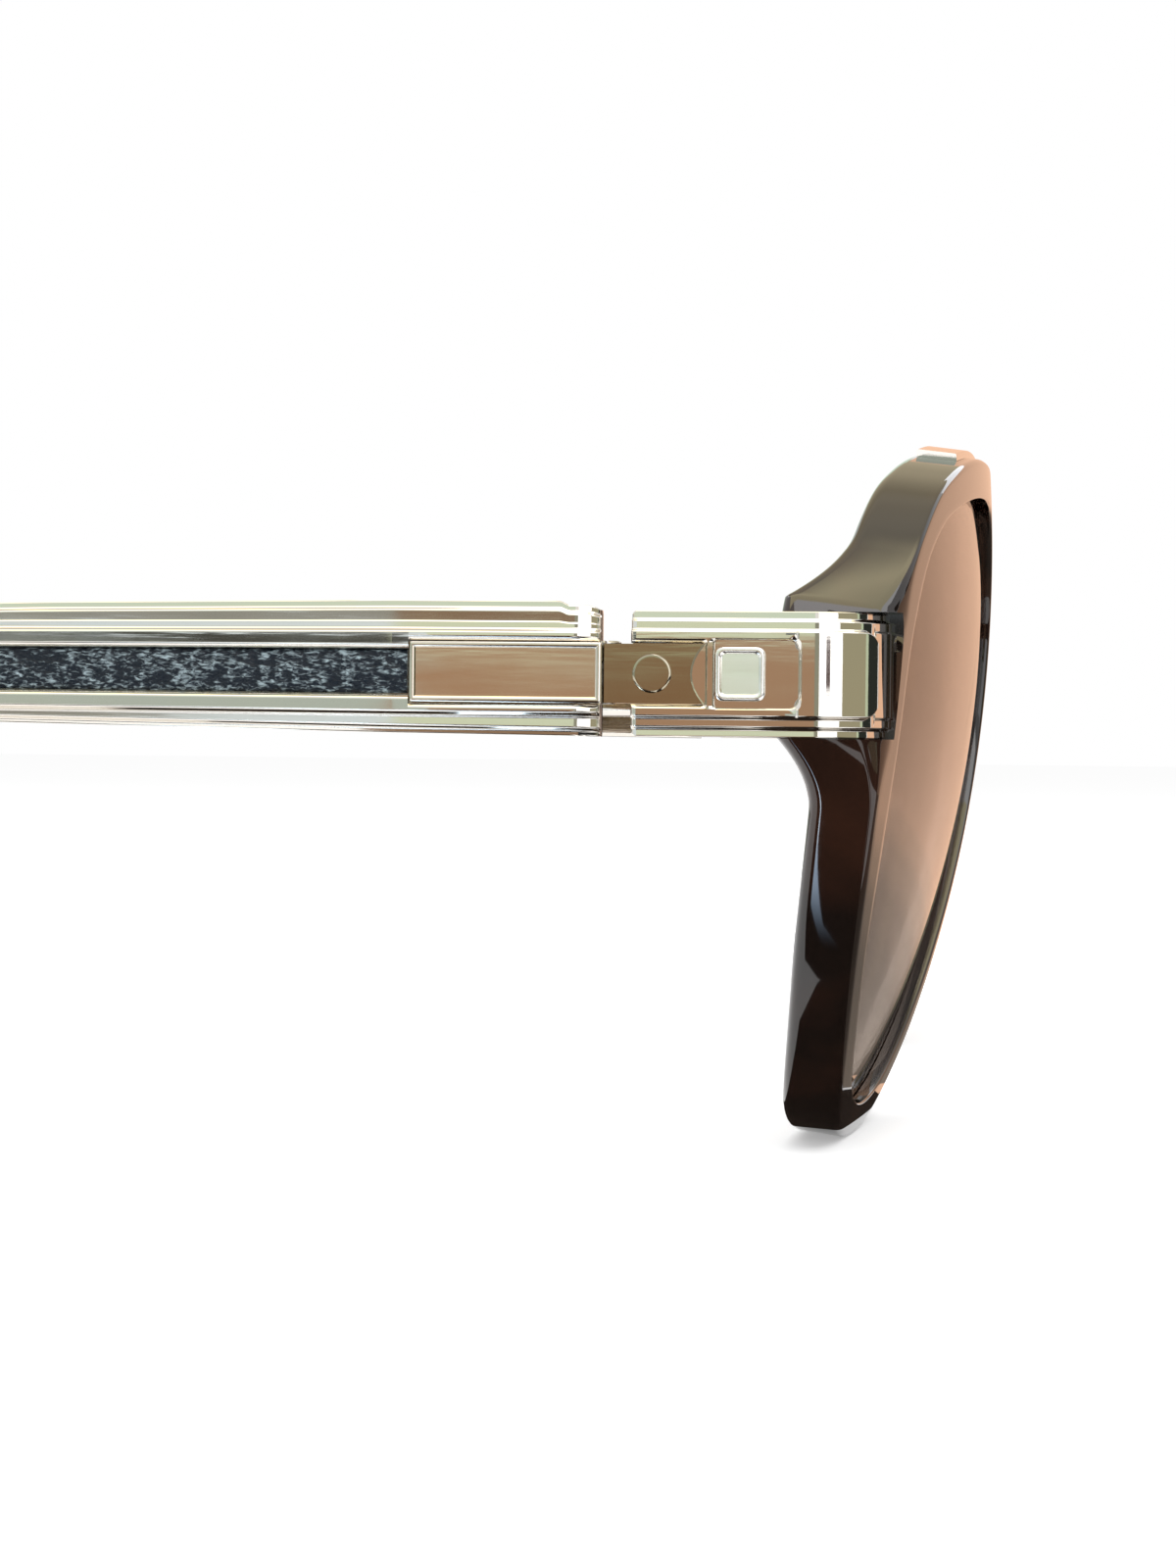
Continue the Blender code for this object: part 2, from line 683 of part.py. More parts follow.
def make_nose_pad(name, side, acetate):
    """Nose pad: a domed strip on the back of the rim beside the nose."""
    opening, outline = opening_curve(), outline_curve()
    starts = np.concatenate([[0], np.cumsum(RIM_STEPS)])

    def at_share(curve, share):
        whole = int(share)
        index = starts[whole] + (share - whole) * RIM_STEPS[whole]
        low = int(index)
        return curve[low] + (curve[low + 1] - curve[low]) * (index - low)

    section = [(0.5, 0.0), (0.5, 0.35), (0.3, 0.8), (0.0, 1.0), (-0.3, 0.9), (-0.5, 0.55), (-0.4, 0.0)]
    rings = []
    for k in range(PAD_STATIONS):
        run = k / (PAD_STATIONS - 1)
        share = PAD_FIRST_STATION + (PAD_LAST_STATION - PAD_FIRST_STATION) * run
        e, o = at_share(outline, share), at_share(opening, share)
        way = (o - e) / np.linalg.norm(o - e)
        swell = sin(pi * (0.08 + 0.84 * run)) ** 0.5
        middle = e + way * (BACK_EDGE + PAD_INSET + PAD_WIDTH / 10)
        ring = []
        for reach, rise in section:
            spot = middle + way * reach * PAD_WIDTH * swell * (1 - 0.2 * rise)
            base = thickness(spot[1]) + SEAT + BACK_EDGE * (0.3 if reach < 0 and rise < 0.6 else 0.0)
            depth = base if rise == 0.0 else thickness(spot[1]) + SEAT + rise * PAD_HEIGHT * swell
            ring.append(front_point(spot[0], spot[1], max(depth, thickness(spot[1]) + SEAT)))
        rings.append(ring)
    return add(f"nose_pad_{name}", skin(rings, side), acetate)


# End piece

def corner_turns():
    """Turns of the end piece's wrap: even steps, closer ones in the field's corner, and its frame."""
    eased_from = FIELD_TURN - FIELD_CORNER / CORNER_RADIUS
    turns = [eased_from * k / CORNER_STEPS for k in range(CORNER_STEPS)]
    shares = [sin(pi / 2 * k / FIELD_STEPS) for k in range(FIELD_STEPS)]
    turns += [eased_from + (FIELD_TURN - eased_from) * share for share in shares]
    frame_from = FIELD_TURN + END_BREAK / 2 / CORNER_RADIUS
    frame = [frame_from + (CORNER_TURN - frame_from) * k / FRAME_STEPS for k in range(FRAME_STEPS + 1)]
    return turns + [FIELD_TURN] + frame


def corner_path(turns):
    """Stations of the end piece's outer face, rear to front: (u, y), and the turn there."""
    stations = [(OUTER_FACE, END_REAR - d, 0.0) for d in (0.0, END_BREAK)]
    stations += [(OUTER_FACE, BLOCK_FRONT + SHELL_THICK / 2, 0.0), (OUTER_FACE, BLOCK_FRONT, 0.0)]
    stations += [(OUTER_FACE, FIELD_REAR + FIELD_RAISE, 0.0), (OUTER_FACE, FIELD_REAR, 0.0)]
    centre = (OUTER_FACE - CORNER_RADIUS, CORNER_START)
    for turn in turns:
        stations.append((centre[0] + CORNER_RADIUS * cos(turn), centre[1] - CORNER_RADIUS * sin(turn), turn))
    return stations


def shell_thickness(turn):
    """Thickness of the end piece's shell, which thins towards its front end."""
    return SHELL_THICK + (SHELL_END_THICK - SHELL_THICK) * turn / CORNER_TURN


def field_edge(y, turn):
    """Half height and rise of the raised field, which ends in round corners before a lower frame."""
    if turn > FIELD_TURN + 0.001:
        return FIELD_HALF, -FRAME_DROP
    short = max(0.0, FIELD_CORNER - (FIELD_TURN - turn) * CORNER_RADIUS)
    half = FIELD_HALF - FIELD_CORNER + sqrt(max(0.0, FIELD_CORNER ** 2 - short ** 2))
    return half, FIELD_RAISE if y < FIELD_REAR + 0.01 else 0.0


def end_piece_body(side):
    """Stepped section carried along the side and round the corner of the front."""
    rings = []
    for u, y, turn in corner_path(corner_turns()):
        at_rear = y > END_REAR - END_BREAK / 2
        thick = BLOCK_THICK if y > BLOCK_FRONT + 0.01 else shell_thickness(turn)
        field_half, rise = field_edge(y, turn)
        ease = END_BREAK / 2 if at_rear else 0.0
        half = [
            (thick - ease, END_HALF - ease), (2 * STEP_DROP + ease, END_HALF - ease),
            (2 * STEP_DROP + ease, MIDDLE_HALF), (STEP_DROP + ease, MIDDLE_HALF),
            (STEP_DROP + ease, field_half), (ease - rise, field_half - max(0.0, rise)),
        ]
        section = half + [(drop, -v) for drop, v in reversed(half)]
        rings.append([(u - drop * cos(turn), y + drop * sin(turn), v) for drop, v in section])
    return skin(rings, side)


def pocket_body(side):
    """Space in the front that the end piece fills, from its inner face outward."""
    high = END_HALF + RUN
    rings = []
    stations = corner_path([CORNER_TURN * k / POCKET_STEPS for k in range(POCKET_STEPS + 1)])
    stations[0] = (OUTER_FACE, BLOCK_FRONT + POCKET_PAST, 0.0)
    u, y, turn = stations[-1]
    stations[-1] = (u - RUN * sin(turn), y - RUN * cos(turn), turn)
    for u, y, turn in stations[:1] + stations[5:]:
        inner = shell_thickness(turn) + RUN
        section = [(inner, -high), (-POCKET_PAST, -high), (-POCKET_PAST, high), (inner, high)]
        rings.append([(u - drop * cos(turn), y + drop * sin(turn), v) for drop, v in section])
    return skin(rings, side)


def corner_pin_bodies(side, room=0.0):
    """Two pins between the end piece's shell and the front's lug, or their holes."""
    face = OUTER_FACE - SHELL_THICK
    profile = [
        (-CORNER_PIN_IN_FRONT - room, CORNER_PIN_RADIUS + room),
        (CORNER_PIN_IN_METAL + room, CORNER_PIN_RADIUS + room),
    ]
    return [turned(profile, (face, CORNER_PIN_Y, v), "u", side, 12) for v in (-CORNER_PIN_V, CORNER_PIN_V)]


def make_end_piece(name, side, metal):
    """End piece with its channel, tile recess, web and holes."""
    piece = add(f"end_piece_{name}", end_piece_body(side), metal)

    def slot(u, front, rear, half, radii):
        outline = eased([(front, -half), (rear, -half), (rear, half), (front, half)], radii)
        return [(u, y, v) for y, v in outline]

    feet = (WEB_FOOT, 0.0, 0.0, WEB_FOOT)
    past = END_REAR + CUT_PAST
    channel = [
        slot(OUTER_FACE - CHANNEL_FLOOR, WEB_REAR, past, CHANNEL_HALF, feet),
        slot(OUTER_FACE - SLOT_BEVEL, WEB_REAR, past, CHANNEL_HALF, feet),
        slot(OUTER_FACE + CUT_PAST, WEB_REAR, past, CHANNEL_HALF + SLOT_BEVEL + CUT_PAST, feet),
    ]
    combine(piece, f"channel_{name}", skin(channel, side), "DIFFERENCE")
    corners = (RECESS_CORNER, WEB_FOOT, WEB_FOOT, RECESS_CORNER)
    levels = (OUTER_FACE - TILE_FLOOR, OUTER_FACE + CUT_PAST)
    recess = [slot(u, FIELD_REAR, WEB_FRONT, RECESS_HALF, corners) for u in levels]
    combine(piece, f"tile_recess_{name}", skin(recess, side), "DIFFERENCE")
    for bm in corner_pin_bodies(side, RUN):
        combine(piece, f"blind_hole_{name}", bm, "DIFFERENCE")
    profile = [(-BLOCK_THICK - CUT_PAST, CAP_SHANK + RUN), (0.0, CAP_SHANK + RUN)]
    hole = turned(profile, (OUTER_FACE, CAP_Y, 0), "u", side)
    combine(piece, f"cap_hole_{name}", hole, "DIFFERENCE")
    return piece


def make_corner_pins(name, side, metal):
    """The two pins of one end piece."""
    lower, upper = corner_pin_bodies(side)
    return [add(f"lower_pin_{name}", lower, metal), add(f"upper_pin_{name}", upper, metal)]


def panel(low, high, border, sink, side, corner=0.0):
    """Flat plate whose outer face is sunk inside a narrow border, with corners of a radius."""
    (u0, y0, v0), (u1, y1, v1) = low, high

    def ring(u, inset):
        front, rear, foot, top = y0 + inset, y1 - inset, v0 + inset, v1 - inset
        corners = [(front, foot), (rear, foot), (rear, top), (front, top)]
        return [(u, y, v) for y, v in eased(corners, [max(0.0, corner - inset)] * 4)]

    levels = [(u0, 0), (u1 - sink, 0), (u1, sink), (u1, border), (u1 - sink, border + sink / 2)]
    return skin([ring(u, inset) for u, inset in levels], side)


def make_tile(name, side, silver):
    """Square tile with a raised frame, set in front of the web."""
    rear = WEB_FRONT - SEAT
    low = (OUTER_FACE - TILE_FLOOR + SEAT, rear - TILE_LENGTH, -TILE_HEIGHT / 2)
    high = (low[0] + TILE_THICK, rear, TILE_HEIGHT / 2)
    return add(f"square_tile_{name}", panel(low, high, TILE_BORDER, TILE_SINK, side, TILE_CORNER), silver)


# Hinge

def ear_body(side, low, high):
    """Hinge ear: a round knuckle on a web that reaches out to the leaf."""
    outer = OUTER_FACE - CHANNEL_FLOOR + SEAT + LEAF_LAP
    outline = [(outer, EAR_FRONT), (outer, LEAF_REAR), (PIVOT_U + KNUCKLE_RADIUS, LEAF_REAR)]
    count = 14
    for k in range(count + 1):
        turn = 1.5 * pi * k / count
        outline.append((PIVOT_U + KNUCKLE_RADIUS * cos(turn), PIVOT_Y + KNUCKLE_RADIUS * sin(turn)))
    outline.append((PIVOT_U + KNUCKLE_RADIUS / 2, EAR_FRONT))
    return skin([[(u, y, v) for u, y in outline] for v in (low, high)], side)


def make_hinge_leaf(name, side, metal):
    """Fixed hinge leaf: a tongue with a hollow front edge in the channel, and two ears behind it."""
    floor = OUTER_FACE - CHANNEL_FLOOR + SEAT
    half = CHANNEL_HALF - RUN
    shares = np.linspace(-1, 1, 9)
    outline = [(LEAF_FRONT + LEAF_HOLLOW * (1 - x * x), half * x) for x in shares]
    outline += [(LEAF_REAR, half), (LEAF_REAR, -half)]
    tongue = [[(u, y, v) for y, v in outline] for u in (floor, floor + LEAF_THICK)]
    leaf = add(f"hinge_leaf_{name}", skin(tongue, side), metal)
    for low, high in ((EAR_INNER, EAR_OUTER), (-EAR_OUTER, -EAR_INNER)):
        combine(leaf, f"ear_{name}", ear_body(side, low, high), "UNION")
    reach = EAR_OUTER + CUT_PAST
    bore = turned([(-reach, PIVOT_HOLE), (reach, PIVOT_HOLE)], (PIVOT_U, PIVOT_Y, 0.0), "v", side)
    combine(leaf, f"ear_bore_{name}", bore, "DIFFERENCE")
    profile = [(-CUT_PAST, CAP_SHANK + RUN), (LEAF_THICK + CUT_PAST, CAP_SHANK + RUN)]
    hole = turned(profile, (floor, CAP_Y, 0.0), "u", side)
    combine(leaf, f"leaf_hole_{name}", hole, "DIFFERENCE")
    return leaf


def make_leaf_rivet(name, side, metal):
    """Round-headed rivet that holds the leaf in the end piece."""
    face = OUTER_FACE - CHANNEL_FLOOR + SEAT + LEAF_THICK + SEAT
    profile = [
        (INNER_FACE + SEAT - face, CAP_SHANK), (0.0, CAP_SHANK), (0.0, CAP_RADIUS),
        (CAP_THICK - CAP_BREAK, CAP_RADIUS), (CAP_THICK, CAP_RADIUS - CAP_BREAK),
    ]
    return add(f"leaf_rivet_{name}", turned(profile, (face, CAP_Y, 0.0), "u", side, 20), metal)


def make_pivot_screw(name, side, metal):
    """Hinge screw down through the ears and the sprung knuckle."""
    shank = PIVOT_HOLE - RUN
    profile = [
        (-EAR_OUTER, shank), (EAR_OUTER + SEAT, shank), (EAR_OUTER + SEAT, SCREW_HEAD_RADIUS),
        (EAR_OUTER + SEAT + SCREW_HEAD_HEIGHT * 0.6, SCREW_HEAD_RADIUS),
        (EAR_OUTER + SEAT + SCREW_HEAD_HEIGHT, SCREW_HEAD_RADIUS * 0.7),
    ]
    return add(f"pivot_screw_{name}", turned(profile, (PIVOT_U, PIVOT_Y, 0.0), "v", side), metal)


def make_slider(name, side, metal):
    """Sprung knuckle: an eye between the ears on a headed rod that runs into the housing."""
    half = EAR_INNER - RUN
    eye = turned([(-half, KNUCKLE_RADIUS), (half, KNUCKLE_RADIUS)], (PIVOT_U, PIVOT_Y, 0.0), "v", side, 20)
    slider = add(f"hinge_slider_{name}", eye, metal)
    start = (KNUCKLE_RADIUS + PIVOT_HOLE) / 2
    head = ROD_HEAD_FRONT - PIVOT_Y
    profile = [
        (start, ROD_RADIUS), (head, ROD_RADIUS), (head, ROD_HEAD_RADIUS),
        (head + ROD_HEAD_LENGTH, ROD_HEAD_RADIUS),
    ]
    combine(slider, f"rod_{name}", turned(profile, (PIVOT_U, PIVOT_Y, 0.0), "y", side, 12), "UNION")
    reach = half + CUT_PAST
    bore = turned([(-reach, PIVOT_HOLE), (reach, PIVOT_HOLE)], (PIVOT_U, PIVOT_Y, 0.0), "v", side)
    combine(slider, f"eye_bore_{name}", bore, "DIFFERENCE")
    return slider


def make_housing(name, side, metal):
    """Spring housing on the temple's inner face, with a collar in the mouth of its bore."""
    count = 24
    low, high = INNER_FACE - SEAT - HOUSING_DEEP, INNER_FACE - SEAT

    def circle(radius, y):
        turns = [2 * pi * (k + 0.5) / count for k in range(count)]
        return [(PIVOT_U + radius * cos(t), y, radius * sin(t)) for t in turns]

    def outside(y, ease=0.0):
        middle, reach = (low + high) / 2, (high - low) / 2 - ease
        points = []
        for k in range(count):
            t = 2 * pi * (k + 0.5) / count
            c, s = cos(t), sin(t)
            stretch = 1 / max(abs(c) / reach, abs(s) / (HOUSING_HALF - ease))
            u, v = c * stretch, s * stretch
            if u < 0:
                over = max(0.0, abs(v) - (HOUSING_HALF - HOUSING_CORNER))
                u += min(over, HOUSING_CORNER) * 0.6
            points.append((middle + u, y, v))
        return points

    collar = HOUSING_FRONT + COLLAR_LENGTH
    mouth = ROD_RADIUS + RUN
    rings = [
        circle(BORE_RADIUS, BORE_REAR), circle(BORE_RADIUS, collar), circle(mouth, collar),
        circle(mouth, HOUSING_FRONT),
        outside(HOUSING_FRONT, HOUSING_MOUTH), outside(HOUSING_FRONT + HOUSING_MOUTH),
        outside(HOUSING_REAR - HOUSING_TAIL), outside(HOUSING_REAR, HOUSING_TAIL),
    ]
    housing = add(f"spring_housing_{name}", skin(rings, side), metal)
    hole_radius = HOUSING_SCREW_RADIUS + RUN
    profile = [(low - CUT_PAST, hole_radius), (high + CUT_PAST, hole_radius)]
    hole = turned(profile, (0.0, HOUSING_SCREW_Y, 0.0), "u", side, 12)
    combine(housing, f"screw_hole_{name}", hole, "DIFFERENCE")
    return housing


def make_housing_screw(name, side, metal):
    """Small screw that holds the housing to the temple."""
    low = INNER_FACE - SEAT - HOUSING_DEEP - SEAT
    profile = [
        (low - HOUSING_SCREW_HEAD_HEIGHT, HOUSING_SCREW_HEAD * 0.75),
        (low - HOUSING_SCREW_HEAD_HEIGHT / 2, HOUSING_SCREW_HEAD),
        (low, HOUSING_SCREW_HEAD), (low, HOUSING_SCREW_RADIUS),
        (INNER_FACE + HOUSING_SCREW_BITE, HOUSING_SCREW_RADIUS),
    ]
    return add(f"housing_screw_{name}", turned(profile, (0.0, HOUSING_SCREW_Y, 0.0), "u", side, 12), metal)


def make_spring(name, side, metal):
    """Compression spring round the rod, between the collar and the rod's head."""
    front = HOUSING_FRONT + COLLAR_LENGTH + SPRING_GAP + SPRING_WIRE
    rear = ROD_HEAD_FRONT - SPRING_GAP - SPRING_WIRE
    radius = (ROD_RADIUS + BORE_RADIUS) / 2
    per_turn, sides = 9, 4
    total = per_turn * SPRING_TURNS
    rings = []
    for k in range(total + 1):
        turn = 2 * pi * k / per_turn
        y = front + (rear - front) * k / total
        ring = []
        for j in range(sides):
            bend = 2 * pi * j / sides
            reach = radius + SPRING_WIRE * cos(bend)
            ring.append((PIVOT_U + reach * cos(turn), y + SPRING_WIRE * sin(bend), reach * sin(turn)))
        rings.append(ring)
    return add(f"hinge_spring_{name}", skin(rings, side), metal)


# Temple pieces

def top_half(along):
    """Height of the temple's top edge: a falling nose, a level shoulder and a crest that fades out."""
    if along < CREST_START:
        share = max(0.0, 1 - (along - TEMPLE_FRONT) / NOSE_LENGTH)
        return SHOULDER_HALF - NOSE_DROP * share ** 2
    fade = (CORE_REAR - along) / (CORE_REAR - TAPER_START)
    return TEMPLE_HALF * taper(along) + CREST * min(1.0, fade)


def roll(along):
    """How far the temple's front end has rolled inward: a quarter of an ellipse."""
    near = max(0.0, 1 - (along - TEMPLE_FRONT) / ROLL_LENGTH)
    return ROLL_DEPTH * (1 - sqrt(1 - near ** 2))


def core_section(along):
    """Stepped outline of the metal temple, with its slot, as (out, up) points."""
    share = taper(along)
    slot = share * (PLATE_SLOT_HALF if along < PLATE_REAR + 0.01 else INLAY_SLOT_HALF)
    rail = TEMPLE_THICK - roll(along)
    bevel = min(SLOT_BEVEL, (rail - SLOT_FLOOR) / 2)
    middle = min(MID_LEVEL, rail - STEP_LEAST)
    low = min(LOW_LEVEL, middle - STEP_LEAST)

    def half(tall):
        mid = min(MID_HALF * share, tall - STEP_LEAST)
        return [
            (SLOT_FLOOR, slot), (rail - bevel, slot), (rail, slot + bevel), (rail, RAIL_HALF * share),
            (middle, RAIL_HALF * share), (middle, mid), (low, mid),
            (low, tall), (TEMPLE_CHAMFER, tall), (0.0, tall - TEMPLE_CHAMFER),
        ]

    lower = half(TEMPLE_HALF * share)
    return half(top_half(along)) + [(out, -up) for out, up in reversed(lower)]


def make_core(name, side, metal):
    """Metal temple: stepped rails either side of a slot, and a tang for the tip."""
    stations = [TEMPLE_FRONT + ROLL_LENGTH * share for share in ROLL_SHARES]
    stations += [CREST_START - CREST_RAMP, CREST_START, PLATE_REAR, PLATE_REAR + SEAT] + straight_stations()
    rings = [[temple_point(s, out, up) for out, up in core_section(s)] for s in stations]
    core = add(f"temple_core_{name}", skin(rings, side), metal)
    tang = [CORE_REAR - TANG_LAP, CORE_REAR, neck_station()] + bend_stations() + [TEMPLE_END - TANG_END]
    low, high = (TEMPLE_THICK - TANG_THICK) / 2, (TEMPLE_THICK + TANG_THICK) / 2
    corners = [(low, -TANG_HALF), (high, -TANG_HALF), (high, TANG_HALF), (low, TANG_HALF)]
    rings = [[temple_point(s, out, up) for out, up in corners] for s in tang]
    combine(core, f"tang_{name}", skin(rings, side), "UNION")
    radius = HOUSING_SCREW_RADIUS + RUN
    origin = (INNER_FACE, HOUSING_SCREW_Y, 0.0)
    hole = turned([(-CUT_PAST, radius), (HOUSING_SCREW_BITE + RUN, radius)], origin, "u", side, 12)
    combine(core, f"core_hole_{name}", hole, "DIFFERENCE")
    return core


def make_plate(name, side, metal):
    """Bare plate that fills the front of the temple's slot."""
    half = PLATE_SLOT_HALF - RUN
    low = (INNER_FACE + SLOT_FLOOR + SEAT, TEMPLE_FRONT - PLATE_LEAD, -half)
    high = (low[0] + PLATE_THICK, PLATE_REAR - SEAT, half)
    return add(f"temple_plate_{name}", panel(low, high, PLATE_BORDER, PLATE_SINK, side), metal)


def make_inlay(name, side, leather):
    """Leather strip in the slot behind the plate, crowned across."""
    floor = SLOT_FLOOR + SEAT
    rings = []
    stations = straight_stations()
    stations = [PLATE_REAR + 2 * SEAT] + stations[:-1] + [CORE_REAR - SEAT]
    for s in stations:
        half = (INLAY_SLOT_HALF - RUN) * taper(s)
        section = [(floor, -half), (floor + INLAY_EDGE, -half)]
        section += [(floor + INLAY_EDGE + INLAY_CROWN * (1 - x * x), half * x) for x in (-0.7, 0.0, 0.7)]
        section += [(floor + INLAY_EDGE, half), (floor, half)]
        rings.append([temple_point(s, out, up) for out, up in section])
    return add(f"leather_inlay_{name}", skin(rings, side), leather)


def make_tip(name, side, acetate):
    """Acetate tip with a bore for the tang, flat where it stands."""
    bore = [TEMPLE_END - TANG_END + RUN] + bend_stations()[::-1] + [neck_station(), CORE_REAR + SEAT]
    thin, high = TANG_THICK / 2 + RUN, TANG_HALF + RUN
    corners = [np.array(c) for c in ((thin, high), (-thin, high), (-thin, -high), (thin, -high))]
    rings = []
    for s in bore:
        ring = []
        for k in range(20):
            edge, step = divmod((k - 2) % 20, 5)
            out, up = corners[edge] + (corners[(edge + 1) % 4] - corners[edge]) * step / 5
            ring.append(temple_point(s, TEMPLE_THICK / 2 + out, up))
        rings.append(ring)
    tip = add(f"temple_tip_{name}", skin(rings + tip_outer_rings(), side), acetate)
    combine(tip, f"tip_floor_{name}", floor_box(), "DIFFERENCE")
    return tip


# Assembly

def carry(pieces, name, point, side, parent=None):
    """Put pieces under an empty that stands on their joint's axis."""
    empty = bpy.data.objects.new(name, None)
    bpy.context.scene.collection.objects.link(empty)
    at = place(point, side)
    empty.location = at
    if parent:
        empty.parent = parent
        empty.matrix_parent_inverse = Matrix.Translation(-parent.location)
    for piece in pieces:
        tools = [m.object for m in piece.modifiers]
        for thing in [piece] + tools:
            thing.parent = empty
            thing.matrix_parent_inverse = Matrix.Translation(-at)
    return empty


def build():
    """All pieces of the sunglasses."""
    for old in list(bpy.data.objects):
        bpy.data.objects.remove(old)
    acetate = material("dark_acetate", (0.03, 0.022, 0.018), 0.12)
    metal = material("polished_metal", (0.72, 0.7, 0.67), 0.1, 1.0)
    plate = material("bronze_metal", (0.45, 0.36, 0.3), 0.12, 1.0)
    silver = material("silver", (0.85, 0.85, 0.84), 0.15, 1.0)
    leather = material("navy_leather", (0.02, 0.03, 0.045), 0.55)
    tinted = material("brown_lens", (0.32, 0.22, 0.17), 0.03, 0.0, 0.6)
    steel = material("steel", (0.55, 0.55, 0.56), 0.25, 1.0)
    make_front(acetate)
    make_brow_bar(metal)
    for name, side in SIDES.items():
        make_lens(name, side, tinted)
        make_nose_pad(name, side, acetate)
        make_end_piece(name, side, metal)
        make_corner_pins(name, side, steel)
        make_tile(name, side, silver)
        make_hinge_leaf(name, side, plate)
        make_leaf_rivet(name, side, plate)
        make_pivot_screw(name, side, steel)
        slider = make_slider(name, side, steel)
        temple = [
            make_core(name, side, metal), make_plate(name, side, plate), make_inlay(name, side, leather),
            make_tip(name, side, acetate), make_housing(name, side, metal),
            make_housing_screw(name, side, steel), make_spring(name, side, steel),
        ]
        axis = carry([slider], f"fold_axis_{name}", (PIVOT_U, PIVOT_Y, 0.0), side)
        carry(temple, f"flex_axis_{name}", (PIVOT_U, HOUSING_FRONT, 0.0), side, axis)


build()
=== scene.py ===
"""Finish of the pilot sunglasses: smooth surfaces over the frame's solids, materials, and a plain studio.

Shapes are worked out in millimetres in the frame's working space: u outward from the nose, y rearward
from the end piece's front and v upward from the temple's centre line. They become metres in a mesh.
"""

import bmesh
import bpy
import numpy as np
from mathutils import Euler, Matrix, Vector


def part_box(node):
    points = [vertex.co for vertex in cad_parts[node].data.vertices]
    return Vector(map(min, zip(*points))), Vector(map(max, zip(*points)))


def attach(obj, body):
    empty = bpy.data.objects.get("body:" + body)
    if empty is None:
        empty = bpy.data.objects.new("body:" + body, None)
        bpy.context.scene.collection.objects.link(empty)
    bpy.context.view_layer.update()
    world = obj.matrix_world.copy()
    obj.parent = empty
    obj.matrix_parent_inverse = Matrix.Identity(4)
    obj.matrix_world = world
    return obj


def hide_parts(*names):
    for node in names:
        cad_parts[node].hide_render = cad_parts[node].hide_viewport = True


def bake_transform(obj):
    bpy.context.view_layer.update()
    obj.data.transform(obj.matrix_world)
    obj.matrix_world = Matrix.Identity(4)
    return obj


bl_info = {
    "name": "Pilot Sunglasses Finish",
    "version": (1, 0, 0),
    "blender": (4, 5, 0),
    "location": "View3D > Sidebar > Sunglasses",
    "description": "Acetate, metal, leather and lens finish for a pair of pilot sunglasses",
    "category": "Add Mesh",
}

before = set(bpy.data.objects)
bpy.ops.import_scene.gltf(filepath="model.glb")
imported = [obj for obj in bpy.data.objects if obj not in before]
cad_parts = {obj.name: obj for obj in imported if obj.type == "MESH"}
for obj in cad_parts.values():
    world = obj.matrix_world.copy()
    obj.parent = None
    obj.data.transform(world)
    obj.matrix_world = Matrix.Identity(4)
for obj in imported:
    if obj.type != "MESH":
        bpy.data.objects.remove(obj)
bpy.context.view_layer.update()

MM = 0.001
SIDES = {"right": -1, "left": 1}
RIGHT = {"right": -1}
WHITE = (1.0, 1.0, 1.0, 1.0)

# Room between fitted pieces, the eased corners of the metal, and where the holding points beside them stand
RUN = 0.05
EASED = 0.09
HOLD = 1.2

# Front
WRAP_RADIUS = 277.8
APEX_Y = 0.55 - 71.3 ** 2 / (2 * WRAP_RADIUS)
TILT = np.radians(7.5)
BULGE_V = -6.0
BULGE_RADIUS = 130.0
TOP_V = 19.3
REST_DROP = 35.4
FRONT_THICK_TOP = 5.5
FRONT_THICK_BOTTOM = 4.7
FRONT_EDGE = 0.45
BACK_EDGE = 1.2
OPENING_EDGE = 0.25
LUG_DEPTH = 3.3
LUG_HALF = 4.7
LUG_BLEND = 5.6
LUG_EDGE = 2.0
LUG_PLATEAU = 0.496
LUG_START = 58.0
LUG_FULL = 66.0
OPENING = [
    (14.6, 14.9), (22.5, 15.7), (31.0, 15.5), (40.0, 14.7), (48.5, 13.4), (55.8, 11.6), (61.9, 8.2),
    (65.7, 2.6), (66.6, -4.0), (66.4, -11.5), (64.6, -18.8), (60.3, -25.4), (53.6, -31.0), (45.5, -33.0),
    (37.0, -31.6), (28.0, -26.6), (19.4, -18.6), (12.9, -9.4), (9.4, 0.3), (10.0, 9.3),
]
OUTLINE = [
    (0.0, 18.7), (14.0, TOP_V), (29.0, 18.9), (41.0, 17.6), (50.3, 15.9), (58.2, 13.5), (65.3, 9.2),
    (70.2, 4.0), (71.3, -3.0), (70.5, -11.0), (67.7, -19.3), (62.4, -26.8), (55.2, -33.2), (46.5, -35.7),
    (37.0, -34.7), (26.6, -29.6), (16.9, -21.0), (10.1, -11.0), (6.7, 0.2), (0.0, 7.8),
]
RIM_STEPS = [2, 3, 3, 3, 3, 3, 6, 6, 5, 4, 3, 3, 3, 2, 2, 2, 2, 2, 2, 3]
FINE = 6

# Lens
LENS_DEPTH = 1.2
LENS_THICK = 2.0
LENS_CROWN = 1.0
GROOVE_DEEP = 0.7
LENS_MIDDLE = (38.0, -8.0)
LENS_RINGS = 22
LENS_HUB = 0.06

# Brow bar and nose pads
BAR_DEPTH = 1.2
BAR_WIDTH = 3.2
BAR_SUNK = 0.7
BAR_PROUD = 0.6
BAR_SEGMENTS = 3
BAR_EDGE = 0.12
PAD_FROM = 17.0
PAD_TO = 18.2
PAD_HEIGHT = 3.0
PAD_WIDTH = 2.3
PAD_END = 0.06
PAD_LEAN = 0.06
PAD_INSET = 0.33

